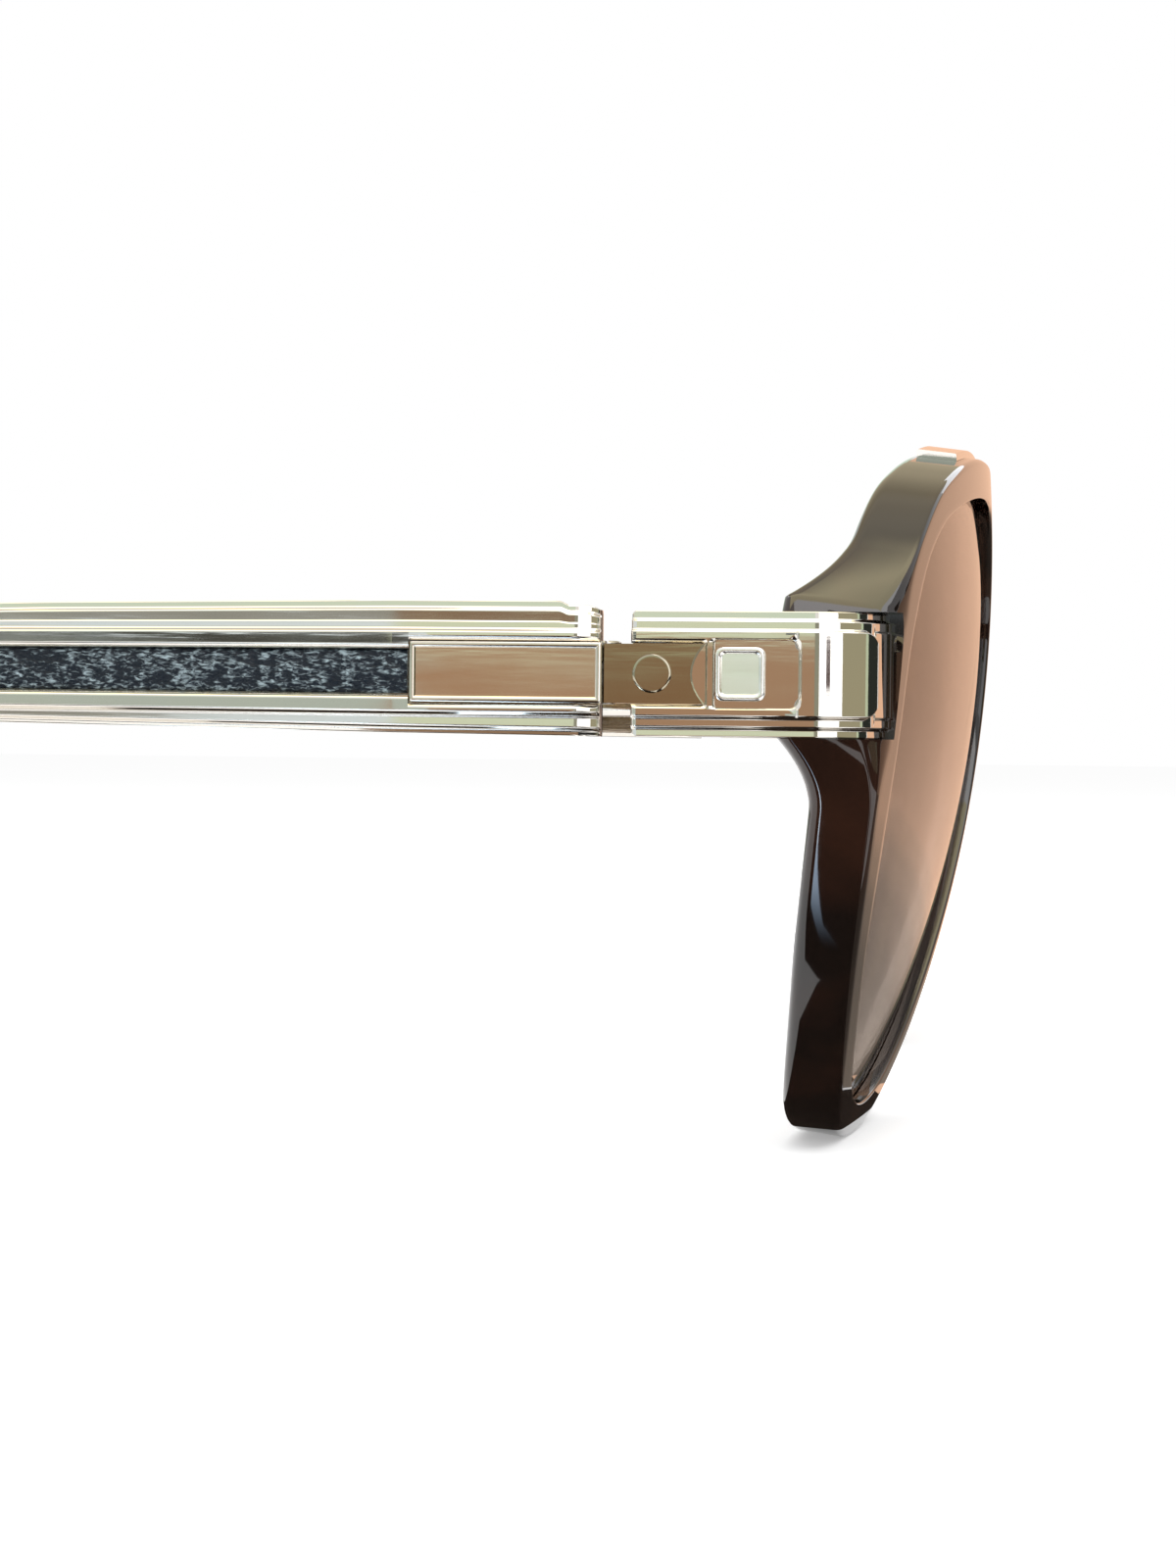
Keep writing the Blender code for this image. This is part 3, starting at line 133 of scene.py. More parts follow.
# End piece
OUTER_FACE = 72.0
END_HALF = 4.45
CORNER_RADIUS = 6.2
CORNER_START = 6.15
CORNER_TURN = np.radians(65)
SHELL_THICK = 1.5
SHELL_END_THICK = 1.2
BLOCK_THICK = 3.2
BLOCK_FRONT = 9.5
END_REAR = 19.0
END_ROUND = 0.4
STEP_DROP = 0.45
STEP_RUN = 0.14
FIELD_HALF = 3.0
MIDDLE_HALF = 3.75
FIELD_RAISE = 0.15
FIELD_REAR = 7.2
FIELD_TURN = np.radians(47)
FIELD_CORNER = 1.2
# Behind the field's rear end, distance and rise as shares of its raise; past its front end, distance and drop
FIELD_STEP = [(1.3, 0.0), (1.0, 0.08), (0.8, 0.25), (0.35, 0.8), (0.1, 0.97), (-0.3, 1.0)]
FIELD_FALL = [(-0.1, 0.0), (-0.03, 0.04), (0.0, 0.14), (0.05, 0.36), (0.1, 0.48), (0.15, 0.5)]
# Past that end, along the arc: where the section is full again, and the first two rings of the plain arc
FIELD_FULL = 0.12
FIELD_CLEAR = (0.2, 0.4)
CHANNEL_HALF = 2.15
CHANNEL_FLOOR = 2.1
SLOT_BEVEL = 0.3
RECESS_HALF = 2.4
RECESS_CORNER = 0.8
TILE_FLOOR = 1.0
WEB_FRONT = 13.1
WEB_REAR = 13.75
WEB_FOOT = 0.3
TILE_LENGTH = 3.5
TILE_HEIGHT = 3.8
TILE_THICK = 0.75
TILE_CORNER = 0.6
TILE_LEAN = 0.06
# How far narrow faces fall inward or rise outward across their width, which turns what they reflect
FACE_FALL = 0.012
EDGE_FALL = 0.03
LIP_RISE = 0.022
FLAT_FALL = 0.004
RAIL_FALL = 0.022
LOW_FALL = 0.015
# Both ends of the end piece: how far they are eased, and the front end's share of it and its run
END_EASE = 0.3
FRONT_EASE = 0.8
FRONT_EASE_TURN = np.radians(3)
# Mouths of the channel and the recess: level, and how far they spread along and across
CHANNEL_MOUTH = [(-0.4, 0.0, 0.0), (-0.33, 0.0, 0.012), (-0.26, 0.0, 0.05), (-0.12, 0.05, 0.18),
                 (0.0, 0.16, 0.31), (1.0, 1.0, 1.4)]
RECESS_MOUTH = [(-0.25, 0.0, 0.0), (-0.12, 0.02, 0.02), (-0.04, 0.07, 0.07), (0.02, 0.15, 0.15),
                (1.0, 0.9, 0.9)]
MOUTH_CORNER = 0.02
# Shares of a panel's sink and of its border, from its side over its rim to its field
PANEL_RIM = [(0.75, 0.0), (0.35, 0.06), (0.1, 0.22), (0.0, 0.5), (0.08, 0.74), (0.4, 0.93),
             (1.0, 1.08), (1.0, 1.2)]
TILE_BORDER = 0.42
TILE_SINK = 0.16

# Hinge
PIVOT_U = 67.4
PIVOT_Y = 21.0
LEAF_THICK = 1.15
CAP_Y = 17.55
CAP_RADIUS = 1.38
CAP_THICK = 0.2
CAP_PROFILE = [(0.0, 0.0), (0.1, 0.0), (0.17, 0.03), (CAP_THICK, 0.1), (CAP_THICK, 0.2)]
EAR_OUTER = 2.1
PIVOT_HEAD = [(0.0, 0.6), (0.0, 1.0), (0.12, 1.0), (0.2, 0.92), (0.24, 0.75)]
PIVOT_SLOT = (0.13, 0.22)
HOUSING_FRONT = 22.6
HOUSING_REAR = 36.6
HOUSING_HALF = 2.1
HOUSING_DEEP = 2.75
HOUSING_CORNER = 0.85
HOUSING_FOOT = 0.08
HOUSING_MOUTH = 0.25
HOUSING_TAIL = 0.7
BORE_RADIUS = 0.55
BORE_DEPTH = 3.0
HOUSING_SCREW_Y = 35.3
HOUSING_HEAD = [(-0.35, 0.65), (-0.28, 0.82), (-0.15, 0.9), (0.0, 0.9), (0.0, 0.5), (1.0, 0.5)]
HOUSING_SLOT = (0.12, 0.2)
COIL_FRONT = 24.22
COIL_REAR = 31.18
COIL_RADIUS = 0.725
COIL_WIRE = 0.12
COIL_TURNS = 6
COIL_STEPS = 24
COIL_SIDES = 8

# Temple
INNER_FACE = 68.8
TEMPLE_FRONT = 21.2
TEMPLE_THICK = 3.2
SLOT_FLOOR = 2.2
PLATE_SLOT_HALF = 2.2
INLAY_SLOT_HALF = 1.6
RAIL_HALF = 2.85
LOW_RAIL_HALF = 2.8
LOW_NOTCH_SHARE = 0.1
MID_HALF = 3.9
TEMPLE_HALF = 4.5
REAR_HALF = 4.1
MID_LEVEL = 2.65
LOW_LEVEL = 2.1
NOTCH_SHARE = 0.35
NOTCH_DROP = 0.07
STEP_SLOPE = 0.26
TOP_RISE = 0.4
LOW_RISE = 0.55
TEMPLE_CHAMFER = 0.35
ROLL_LENGTH = 2.2
ROLL_DEPTH = 0.9
NOSE_LENGTH = 1.2
NOSE_DROP = 0.3
SHOULDER_HALF = 4.4
CREST = 0.2
CREST_START = 24.2
CREST_RAMP = 0.8
STEP_LEAST = 0.12
PLATE_REAR = 34.8
PLATE_LEAD = 0.1
PLATE_THICK = 0.85
PLATE_BORDER = 0.4
PLATE_SINK = 0.14
PLATE_CORNER = 0.12
INLAY_SIDE = 0.3
INLAY_CROWN = 0.5
INLAY_CREASE = 0.36
TAPER_START = 36.0
BODY_REAR = 60.0
CORE_REAR = 86.01
BOW = 6.0
BEND_START = 105.01
BEND_RADIUS = 25.0
BEND_ANGLE = np.radians(42)
BEND_END = BEND_START + BEND_RADIUS * BEND_ANGLE
TEMPLE_END = 165.0
TIP_ROUND = 3.2
TIP_THICK = 3.4
TIP_END_THICK = 3.0
TIP_NECK_HALF = 3.3
TIP_END_HALF = 3.9
TIP_SQUARENESS = 3.2
TIP_MOUTH = 0.2
TIP_MOUTH_DROP = 0.12

# Camera: its place across, along and up from the temple's middle
CAMERA_PLACE = (-290.2, 2.83, -4.6)

# Metals: the setting of their colour, their lowest and highest roughness, and the relief of their hairlines
METALS = {
    "Polished Metal": ("metal_colour", 0.02, 0.07, 0.16),
    "Bronze Metal": ("leaf_colour", 0.05, 0.12, 0.2),
    "Plate Metal": ("plate_colour", 0.05, 0.12, 0.2),
    "Silver": ("tile_colour", 0.12, 0.25, 0.3),
    "Steel": ("steel_colour", 0.2, 0.35, 0.4),
}

COOL = (0.95, 0.98, 1.0)
WARM = (1.03, 0.99, 0.95)

# Scales of noise, spans of a mask that runs from none to all, and the heights in metres of the lens's fade
WEAR_SPAN = (0.12, 0.42)
METAL_CLOUDS = 120.0
ACETATE_CLOUDS = 70.0
ACETATE_SPAN = (0.45, 0.75)
LENS_FADE = (0.004, 0.04)
LEATHER_SCALE = 3400.0
LEATHER_TURN = (0.7, 0.0, 0.0)
LEATHER_STRETCH = (1.0, 0.5, 1.3)
# The leather's painted glints: the fine noise's weight, and the span and contrast of the mask that mixes the
# pale colour onto the crests
LEATHER_GLINT_WEIGHT = 4.5
LEATHER_GLINT_SPAN = (2.75, 3.75)
LEATHER_GLINT_CONTRAST = 1.6
GRAIN_SPAN = (0.3, 0.7)
GRAIN_ROUGH = (0.2, 0.42)

# Studio, in metres: the floor's tone and lift to white, lamps by place and share of the power,
# and the drum on which the glowing cards that paint reflections stand
FLOOR_TONE = (0.9, 0.9, 0.9, 1.0)
FLOOR_LIFT = 0.34
FLOOR_REACH = 4.0
FLOOR_LEVEL = -0.0002
LAMPS = {"key_lamp": ((-0.35, -0.25, 0.75), 1.0), "fill_lamp": ((0.35, 0.25, 0.75), 0.5)}
LAMP_TARGET = (0.0, 0.0, 0.02)
LAMP_SIZE = (0.8, 0.6)
DRUM = 0.6
NEAR = 0.16
DRUM_U = 0.0655
DRUM_Y = -0.0675


def wall(low, high):
    """Levels of a card that stands on the drum between two heights."""
    return ((low, DRUM), (high, DRUM))


# Glowing cards round each hinge, seen only in reflections, that paint bands, highlights and dark patches:
# turns in degrees from the side towards the front, heights with reaches, and colour
CARDS = [
    ("rear_green_card", (-75, -11.5), wall(0.0, 0.057), (0.55, 0.62, 0.56)),
    ("rear_line_card", (-75, -11.5), wall(0.057, 0.063), (0.08, 0.08, 0.07)),
    ("rear_blue_card", (-75, -11.5), wall(0.063, 0.092), (0.85, 0.95, 1.0)),
    ("rear_grey_card", (-75, -11.5), wall(0.092, 0.112), (0.36, 0.36, 0.32)),
    ("brown_card", (-11.5, 1), wall(0.0, 0.057), (0.46, 0.29, 0.18)),
    ("cream_card", (-11.5, 1), wall(0.057, 0.091), (0.80, 0.88, 0.66)),
    ("mottled_card", (-11.5, 1), wall(0.091, 0.112), (0.30, 0.20, 0.13)),
    ("mint_high_card", (-75, 1), wall(0.112, 0.26), (0.78, 0.90, 0.74)),
    ("olive_card", (1, 6.4), wall(0.0, 0.12), (0.34, 0.34, 0.26)),
    # A bright glowing strip whose hole the dark core card fills: the painted highlight down the end piece's
    # corner, with its dark core
    ("strip_card", (6.4, 15.4, 20.6, 36.6), wall(0.0, 0.044) + wall(0.0575, 0.42), (1.9, 1.9, 1.95),
     SIDES, True),
    ("core_card", (15.4, 20.6), wall(0.044, 0.0575), (0.16, 0.12, 0.12)),
    ("khaki_card", (36.6, 70), wall(0.0, 0.3), (0.42, 0.39, 0.26)),
    ("mint_card", (70, 74), wall(0.0, 0.3), (0.62, 0.72, 0.52)),
    # Dark cards, upright and on the floor: painted dark reflections in the metal and acetate
    ("dark_card", (74, 90), wall(0.0, 0.3), (0.03, 0.035, 0.03)),
    ("brown_floor_card", (-14, 6.4), ((0.001, NEAR), (0.001, DRUM)), (0.34, 0.22, 0.14)),
    ("dark_floor_card", (6.4, 90), ((0.001, NEAR), (0.001, DRUM)), (0.03, 0.03, 0.03)),
    ("wedge_floor_card", (-60, -10), ((0.0008, 0.0), (0.0008, NEAR)), (0.03, 0.022, 0.018)),
    # Glowing streak near the floor: painted highlight streaks on the right side's low surfaces
    ("streak_card", (-42.5, -37.5), ((0.0012, 0.012), (0.0012, 0.125)),
     [(0.0, 0.0, 0.0), (2.5, 3.1, 3.8), (8.0, 9.5, 11.0), (3.5, 4.6, 6.0), (0.0, 0.0, 0.0)], RIGHT),
    # Painted peach reflection on the right side's front face, lens and end piece's front end
    ("peach_card", (91, 178), ((0.002, 0.03), (0.002, 0.5), (0.2, 0.5)), (1.0, 0.62, 0.42), RIGHT),
]

# Level glowing cards, seen only in reflections, that paint reflections: from and to across and along, height,
# colour or colours from right to left, and sides
FLAT_CARDS = [
    # Dark sheet beside each foot: a painted dark reflection on the front's foot
    ("foot_card", (0.0, 0.26), (-0.074, -0.061), 0.001, (0.03, 0.022, 0.018), SIDES),
    # Brown to peach band: a painted reflection in the lower right lens
    ("lens_floor_card", (-0.16, 0.09), (-0.22, -0.072), 0.0026,
     [(0.26, 0.21, 0.17)] * 3
     + [(0.40, 0.30, 0.23), (0.62, 0.43, 0.31), (0.85, 0.55, 0.38), (1.0, 0.62, 0.42)], RIGHT),
    # Bright band that fades to khaki overhead: painted highlights and a painted khaki reflection on upward
    # faces
    ("ceiling_card", (-1.5, 0.3), (-0.35, 0.25), 0.45,
     [(3.4, 3.05, 2.0)] * 3 + [(1.0, 0.9, 0.7), (0.8, 0.7, 0.52)] + [(0.62, 0.53, 0.36)] * 9, RIGHT),
]

# The frame's zero along, in the working space: half way along the pivot screw
MIDDLE_Y = PIVOT_Y - sum(corner.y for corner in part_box("pivot_screw_right")) / 2 / MM


def smoothstep(share):
    """0 to 1 along a curve that is level at both ends."""
    share = np.clip(share, 0.0, 1.0)
    return share * share * (3 - 2 * share)


def blended(share, first, second):
    """Value between two, straight from the first to the second."""
    return first + (second - first) * share


def unit(ways):
    """Directions of length 1."""
    return ways / np.linalg.norm(ways, axis=-1, keepdims=True)


def front_y(u, v):
    """Place along of the front's face: a wrap across, a bulge up and down, and the tilt."""
    return APEX_Y + u * u / (2 * WRAP_RADIUS) + (v - BULGE_V) ** 2 / (2 * BULGE_RADIUS) - v * np.tan(TILT)


def lug_share(u, v):
    """1 where the temple joins the front, falling along a hollow curve to 0 above and below."""
    away = np.maximum(0.0, np.abs(v) - LUG_HALF) / LUG_BLEND
    across = np.clip((u - LUG_START) / (LUG_FULL - LUG_START), 0.0, 1.0)
    return np.maximum(0.0, 1 - away) ** 2 * across ** 2


def front_points(at, depth, share=0.0):
    """Points at a depth behind the face, square to it, or straight back where share is 1."""
    u, v = at[..., 0], at[..., 1]
    back = np.stack([-u / WRAP_RADIUS * (1 - share), np.ones_like(u), np.full_like(u, np.tan(TILT))], -1)
    return np.stack([u, front_y(u, v), v], -1) + np.broadcast_to(depth, u.shape)[..., None] * unit(back)


def thickness(v):
    """Thickness of the front, which grows from its foot to its brow."""
    return blended((v + REST_DROP) / (TOP_V + REST_DROP), FRONT_THICK_BOTTOM, FRONT_THICK_TOP)


def smooth_through(points, before, after, steps):
    """Catmull-Rom curve: cubic pieces whose slope at a point follows its two neighbours."""
    knots = np.array([before] + points + after, float)
    runs = []
    for i, count in enumerate(steps):
        t = np.arange(count * FINE)[:, None] / (count * FINE)
        a, b, c, d = knots[i:i + 4]
        runs.append(0.5 * (2 * b + (c - a) * t + (2 * a - 5 * b + 4 * c - d) * t ** 2
                           + (3 * b - a - 3 * c + d) * t ** 3))
    return np.concatenate(runs)


def opening_curve():
    """Closed curve of the lens opening."""
    return smooth_through(OPENING, OPENING[-1], OPENING[:2], RIM_STEPS)


def outline_curve():
    """Outline of half the front, from the brow's centre round to the bridge and up the centre."""
    before, after = ((-OUTLINE[i][0], OUTLINE[i][1]) for i in (1, -2))
    rim = smooth_through(OUTLINE, before, [after], RIM_STEPS[:-1])
    count = RIM_STEPS[-1] * FINE
    foot, crown = np.array(OUTLINE[-1]), np.array(OUTLINE[0])
    return np.concatenate([rim, foot + (crown - foot) * np.arange(count)[:, None] / count])


def outward(curve):
    """Outward unit normals of a closed curve that runs clockwise seen from the front."""
    along = np.roll(curve, -1, 0) - np.roll(curve, 1, 0)
    return unit(np.stack([-along[:, 1], along[:, 0]], -1))


def softened(polygon, radius, count=4):
    """Polygon with each corner eased: a parabola between points one radius along its two sides.

    A holding point stands just beyond each end of it, so that the side between two corners is shaded flat.
    """
    polygon = np.asarray(polygon, float)
    before, after = np.roll(polygon, 1, -2) - polygon, np.roll(polygon, -1, -2) - polygon
    reach_before = np.linalg.norm(before, axis=-1, keepdims=True)
    reach_after = np.linalg.norm(after, axis=-1, keepdims=True)
    size = np.minimum(np.minimum(reach_before, reach_after) * 0.4, radius)
    before /= np.maximum(reach_before, 1e-9)
    after /= np.maximum(reach_after, 1e-9)
    a, b = (polygon + way * size for way in (before, after))
    t = np.linspace(0, 1, count)[:, None]
    arc = (1 - t) ** 2 * a[..., None, :] + 2 * t * (1 - t) * polygon[..., None, :] + t ** 2 * b[..., None, :]
    first, last = ((polygon + way * size * HOLD)[..., None, :] for way in (before, after))
    return np.concatenate([first, arc, last], -2).reshape(*polygon.shape[:-2], -1, 2)


def solid(name, grid, side=1, loop=False, poles=None):
    """Closed mesh over a grid of rings: quads between rings, with flat ends, poles or joined ends."""
    rows, columns = grid.shape[:2]
    r, c = np.meshgrid(np.arange(rows if loop else rows - 1), np.arange(columns), indexing="ij")
    below, beside = (r + 1) % rows, (c + 1) % columns
    r, below = r * columns, below * columns
    quads = np.stack([r + c, r + beside, below + beside, below + c], -1)
    points = grid.reshape(-1, 3)
    faces = quads.reshape(-1, 4).tolist()
    ends = [np.arange(columns), np.arange(columns) + (rows - 1) * columns]
    if poles is not None:
        for pole, end in zip(poles, ends):
            tip = len(points)
            points = np.concatenate([points, np.array(pole, float).reshape(1, 3)])
            faces += np.stack([end, np.roll(end, -1), np.full(columns, tip)], -1).tolist()
    elif not loop:
        faces += [end.tolist() for end in ends]
    world = (points * (side, 1, 1) - (0, MIDDLE_Y, -REST_DROP)) * MM
    mesh = bpy.data.meshes.new(name)
    mesh.from_pydata(world, [], faces)
    bm = bmesh.new()
    bm.from_mesh(mesh)
    bmesh.ops.recalc_face_normals(bm, faces=bm.faces)
    bm.to_mesh(mesh)
    bm.free()
    return linked(name, mesh)


def linked(name, data):
    """Object of some data, in the scene."""
    thing = bpy.data.objects.new(name, data)
    bpy.context.scene.collection.objects.link(thing)
    return thing


def carve(piece, cutters):
    """Cuts bodies out of a piece, keeps the result as its mesh and removes the cutters."""
    for cutter in cutters:
        cut = piece.modifiers.new(cutter.name, "BOOLEAN")
        cut.operation = "DIFFERENCE"
        cut.object = cutter
    shaped = piece.evaluated_get(bpy.context.evaluated_depsgraph_get())
    mesh = bpy.data.meshes.new_from_object(shaped)
    piece.modifiers.clear()
    piece.data = mesh
    for cutter in cutters:
        bpy.data.objects.remove(cutter)
    return piece


def extruded(name, outline, low, high, axis, side=1):
    """Prism of an outline along an axis."""
    outline = np.asarray(outline, float)
    return solid(name, np.array([np.insert(outline, axis, level, axis=1) for level in (low, high)]), side)


def turned(name, profile, origin, axis, side=1, count=48):
    """Body turned about an axis: each profile pair is a distance along it and a radius."""
    along, radius = np.array(profile, float).T
    turn = np.linspace(0, 2 * np.pi, count, endpoint=False)
    ways = {"u": (0, 1, 2), "y": (1, 0, 2), "v": (2, 0, 1)}[axis]
    grid = np.zeros((len(along), count, 3))
    grid[..., ways[0]] = along[:, None]
    grid[..., ways[1]] = radius[:, None] * np.cos(turn)
    grid[..., ways[2]] = radius[:, None] * np.sin(turn)
    return solid(name, grid + np.array(origin), side)


def finished(piece, material, slot, body, *nodes, crease=32):
    """Gives a piece its shading, material and body, and hides the solids that it stands for."""
    piece.data.materials.clear()
    piece.data.materials.append(material)
    piece.data.shade_smooth()
    piece.data.set_sharp_from_angle(angle=np.radians(crease))
    if body:
        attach(piece, body)
    if nodes:
        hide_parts(*nodes)


# Materials

def node(tree, kind, inputs=None, **settings):
    """Shader node with its settings, and its inputs from values or other nodes' sockets."""
    made = tree.nodes.new(kind)
    for key, value in settings.items():
        setattr(made, key, value)
    for key, value in (inputs or {}).items():
        if isinstance(value, bpy.types.NodeSocket):
            tree.links.new(value, made.inputs[key])
        else:
            made.inputs[key].default_value = value
    return made


def object_place(tree):
    """Place in the object's own coordinates."""
    return node(tree, "ShaderNodeTexCoord").outputs["Object"]


def noise(tree, place, scale, detail, **more):
    """Smooth noise of a scale and a detail at a place."""
    inputs = {"Vector": place, "Scale": scale, "Detail": detail, **more}
    return node(tree, "ShaderNodeTexNoise", inputs).outputs["Fac"]


def maths(tree, operation, *values):
    """Result of an operation on values or sockets."""
    return node(tree, "ShaderNodeMath", dict(enumerate(values)), operation=operation).outputs["Value"]


def ranged(tree, value, low, high, to=(0.0, 1.0), **settings):
    """Value carried from the range between low and high to another range."""
    inputs = {"Value": value, "From Min": low, "From Max": high, "To Min": to[0], "To Max": to[1]}
    return node(tree, "ShaderNodeMapRange", inputs, **settings).outputs["Result"]


def wear_group():
    """Hairlines and soft smudges of polished surfaces: a mask for roughness and a fine normal."""
    name = "Polish Wear"
    if name in bpy.data.node_groups:
        return bpy.data.node_groups[name]
    made = bpy.data.node_groups.new(name, "ShaderNodeTree")
    for key, value in (("Smudge Scale", 90.0), ("Hairline Scale", 900.0), ("Relief", 0.1)):
        socket = made.interface.new_socket(name=key, in_out="INPUT", socket_type="NodeSocketFloat")
        socket.default_value = value
    made.interface.new_socket(name="Mask", in_out="OUTPUT", socket_type="NodeSocketFloat")
    made.interface.new_socket(name="Normal", in_out="OUTPUT", socket_type="NodeSocketVector")
    given = node(made, "NodeGroupInput").outputs
    place = object_place(made)
    stretch = node(made, "ShaderNodeMapping", {"Vector": place, "Scale": (1.0, 0.08, 1.0)})
    smudge = noise(made, place, given["Smudge Scale"], 4.0)
    line = noise(made, stretch.outputs["Vector"], given["Hairline Scale"], 3.0)
    relief = node(made, "ShaderNodeBump", {"Height": line, "Strength": given["Relief"], "Distance": 0.00002})
    mask = maths(made, "MULTIPLY", smudge, line)
    node(made, "NodeGroupOutput", {"Mask": mask, "Normal": relief.outputs["Normal"]})
    return made


def shaded(name, **values):
    """Material with one Principled shader whose plain values are set on its own sockets."""
    material = bpy.data.materials.new(name)
    material.use_nodes = True
    shader = material.node_tree.nodes["Principled BSDF"]
    for key, value in values.items():
        shader.inputs[key.replace("_", " ")].default_value = value
    return material, material.node_tree, shader


def polish(tree, shader, low, high, relief, smudge=90.0, hairline=900.0):
    """Roughness between two values and a faint relief from the polish wear."""
    sizes = {"Smudge Scale": smudge, "Hairline Scale": hairline, "Relief": relief}
    wear = node(tree, "ShaderNodeGroup", sizes, node_tree=wear_group())
    tree.links.new(ranged(tree, wear.outputs["Mask"], *WEAR_SPAN, (low, high)), shader.inputs["Roughness"])
    tree.links.new(wear.outputs["Normal"], shader.inputs["Normal"])


def toned(tree, shader, share, first, second):
    """Base colour between two colours, by the share of the second."""
    mix = node(tree, "ShaderNodeMix", {0: share, 6: (*first, 1.0), 7: (*second, 1.0)}, data_type="RGBA")
    tree.links.new(mix.outputs[2], shader.inputs["Base Color"])


def acetate_material(name, look):
    """Near-black acetate with brown clouds in it, deeply polished."""
    material, tree, shader = shaded(name, IOR=1.5, Coat_Weight=0.3, Coat_Roughness=0.02)
    cloud = noise(tree, object_place(tree), ACETATE_CLOUDS, 3.0, Distortion=1.2)
    toned(tree, shader, ranged(tree, cloud, *ACETATE_SPAN), look.acetate_dark, look.acetate_brown)
    polish(tree, shader, 0.03, 0.08, 0.05, 60.0, 500.0)
    return material


def metal_material(name, look):
    """Plated metal: one tone with slightly warmer and cooler areas, hairlines and smudges."""
    key, *wear = METALS[name]
    material, tree, shader = shaded(name, Metallic=1.0)
    cool, warm = ([min(1.0, c * f) for c, f in zip(getattr(look, key), tint)] for tint in (COOL, WARM))
    toned(tree, shader, noise(tree, object_place(tree), METAL_CLOUDS, 2.0), cool, warm)
    polish(tree, shader, *wear)
    return material


def leather_material(name, look):
    """Crumpled leather: near-black creases, slanting pale painted glints on the crests, and a fine grain in
    the gloss.
    """
    material, tree, shader = shaded(name, Specular_IOR_Level=0.25)
    crest = node(tree, "ShaderNodeAttribute", attribute_name="crest")
    slant = node(tree, "ShaderNodeMapping", {
        "Vector": object_place(tree), "Rotation": LEATHER_TURN, "Scale": LEATHER_STRETCH})
    scale = LEATHER_SCALE / look.leather_grain
    fine = noise(tree, slant.outputs["Vector"], scale, 3.0, Roughness=0.6, Distortion=0.6)
    # Painted glints: crest height plus the fine noise, turned into the share of the pale colour
    painted_glint = maths(tree, "MULTIPLY_ADD", fine, LEATHER_GLINT_WEIGHT, crest.outputs["Fac"])
    share = maths(tree, "POWER", ranged(tree, painted_glint, *LEATHER_GLINT_SPAN), LEATHER_GLINT_CONTRAST)
    toned(tree, shader, share, look.leather_colour, look.leather_crest)
    tree.links.new(ranged(tree, fine, *GRAIN_SPAN, GRAIN_ROUGH), shader.inputs["Roughness"])
    relief = node(tree, "ShaderNodeBump", {"Height": fine, "Strength": 1.0, "Distance": 0.00012})
    tree.links.new(relief.outputs["Normal"], shader.inputs["Normal"])
    return material


def lens_material(name, look):
    """Tinted lens: brown above, fading to a clearer grey below, with a hard clear gloss."""
    material, tree, shader = shaded(name, Transmission_Weight=1.0, IOR=1.5)
    height = node(tree, "ShaderNodeSeparateXYZ", {"Vector": object_place(tree)}).outputs["Z"]
    fade = ranged(tree, height, *LENS_FADE, interpolation_type="SMOOTHSTEP")
    toned(tree, shader, fade, look.lens_low, look.lens_high)
    polish(tree, shader, 0.0, 0.03, 0.02, 60.0, 400.0)
    return material


def materials(look):
    """All the finishes, made once and found again by name."""
    makers = {"Dark Acetate": acetate_material, **dict.fromkeys(METALS, metal_material),
              "Navy Leather": leather_material, "Brown Lens": lens_material}
    return {name: bpy.data.materials.get(name) or make(name, look) for name, make in makers.items()}


# Front

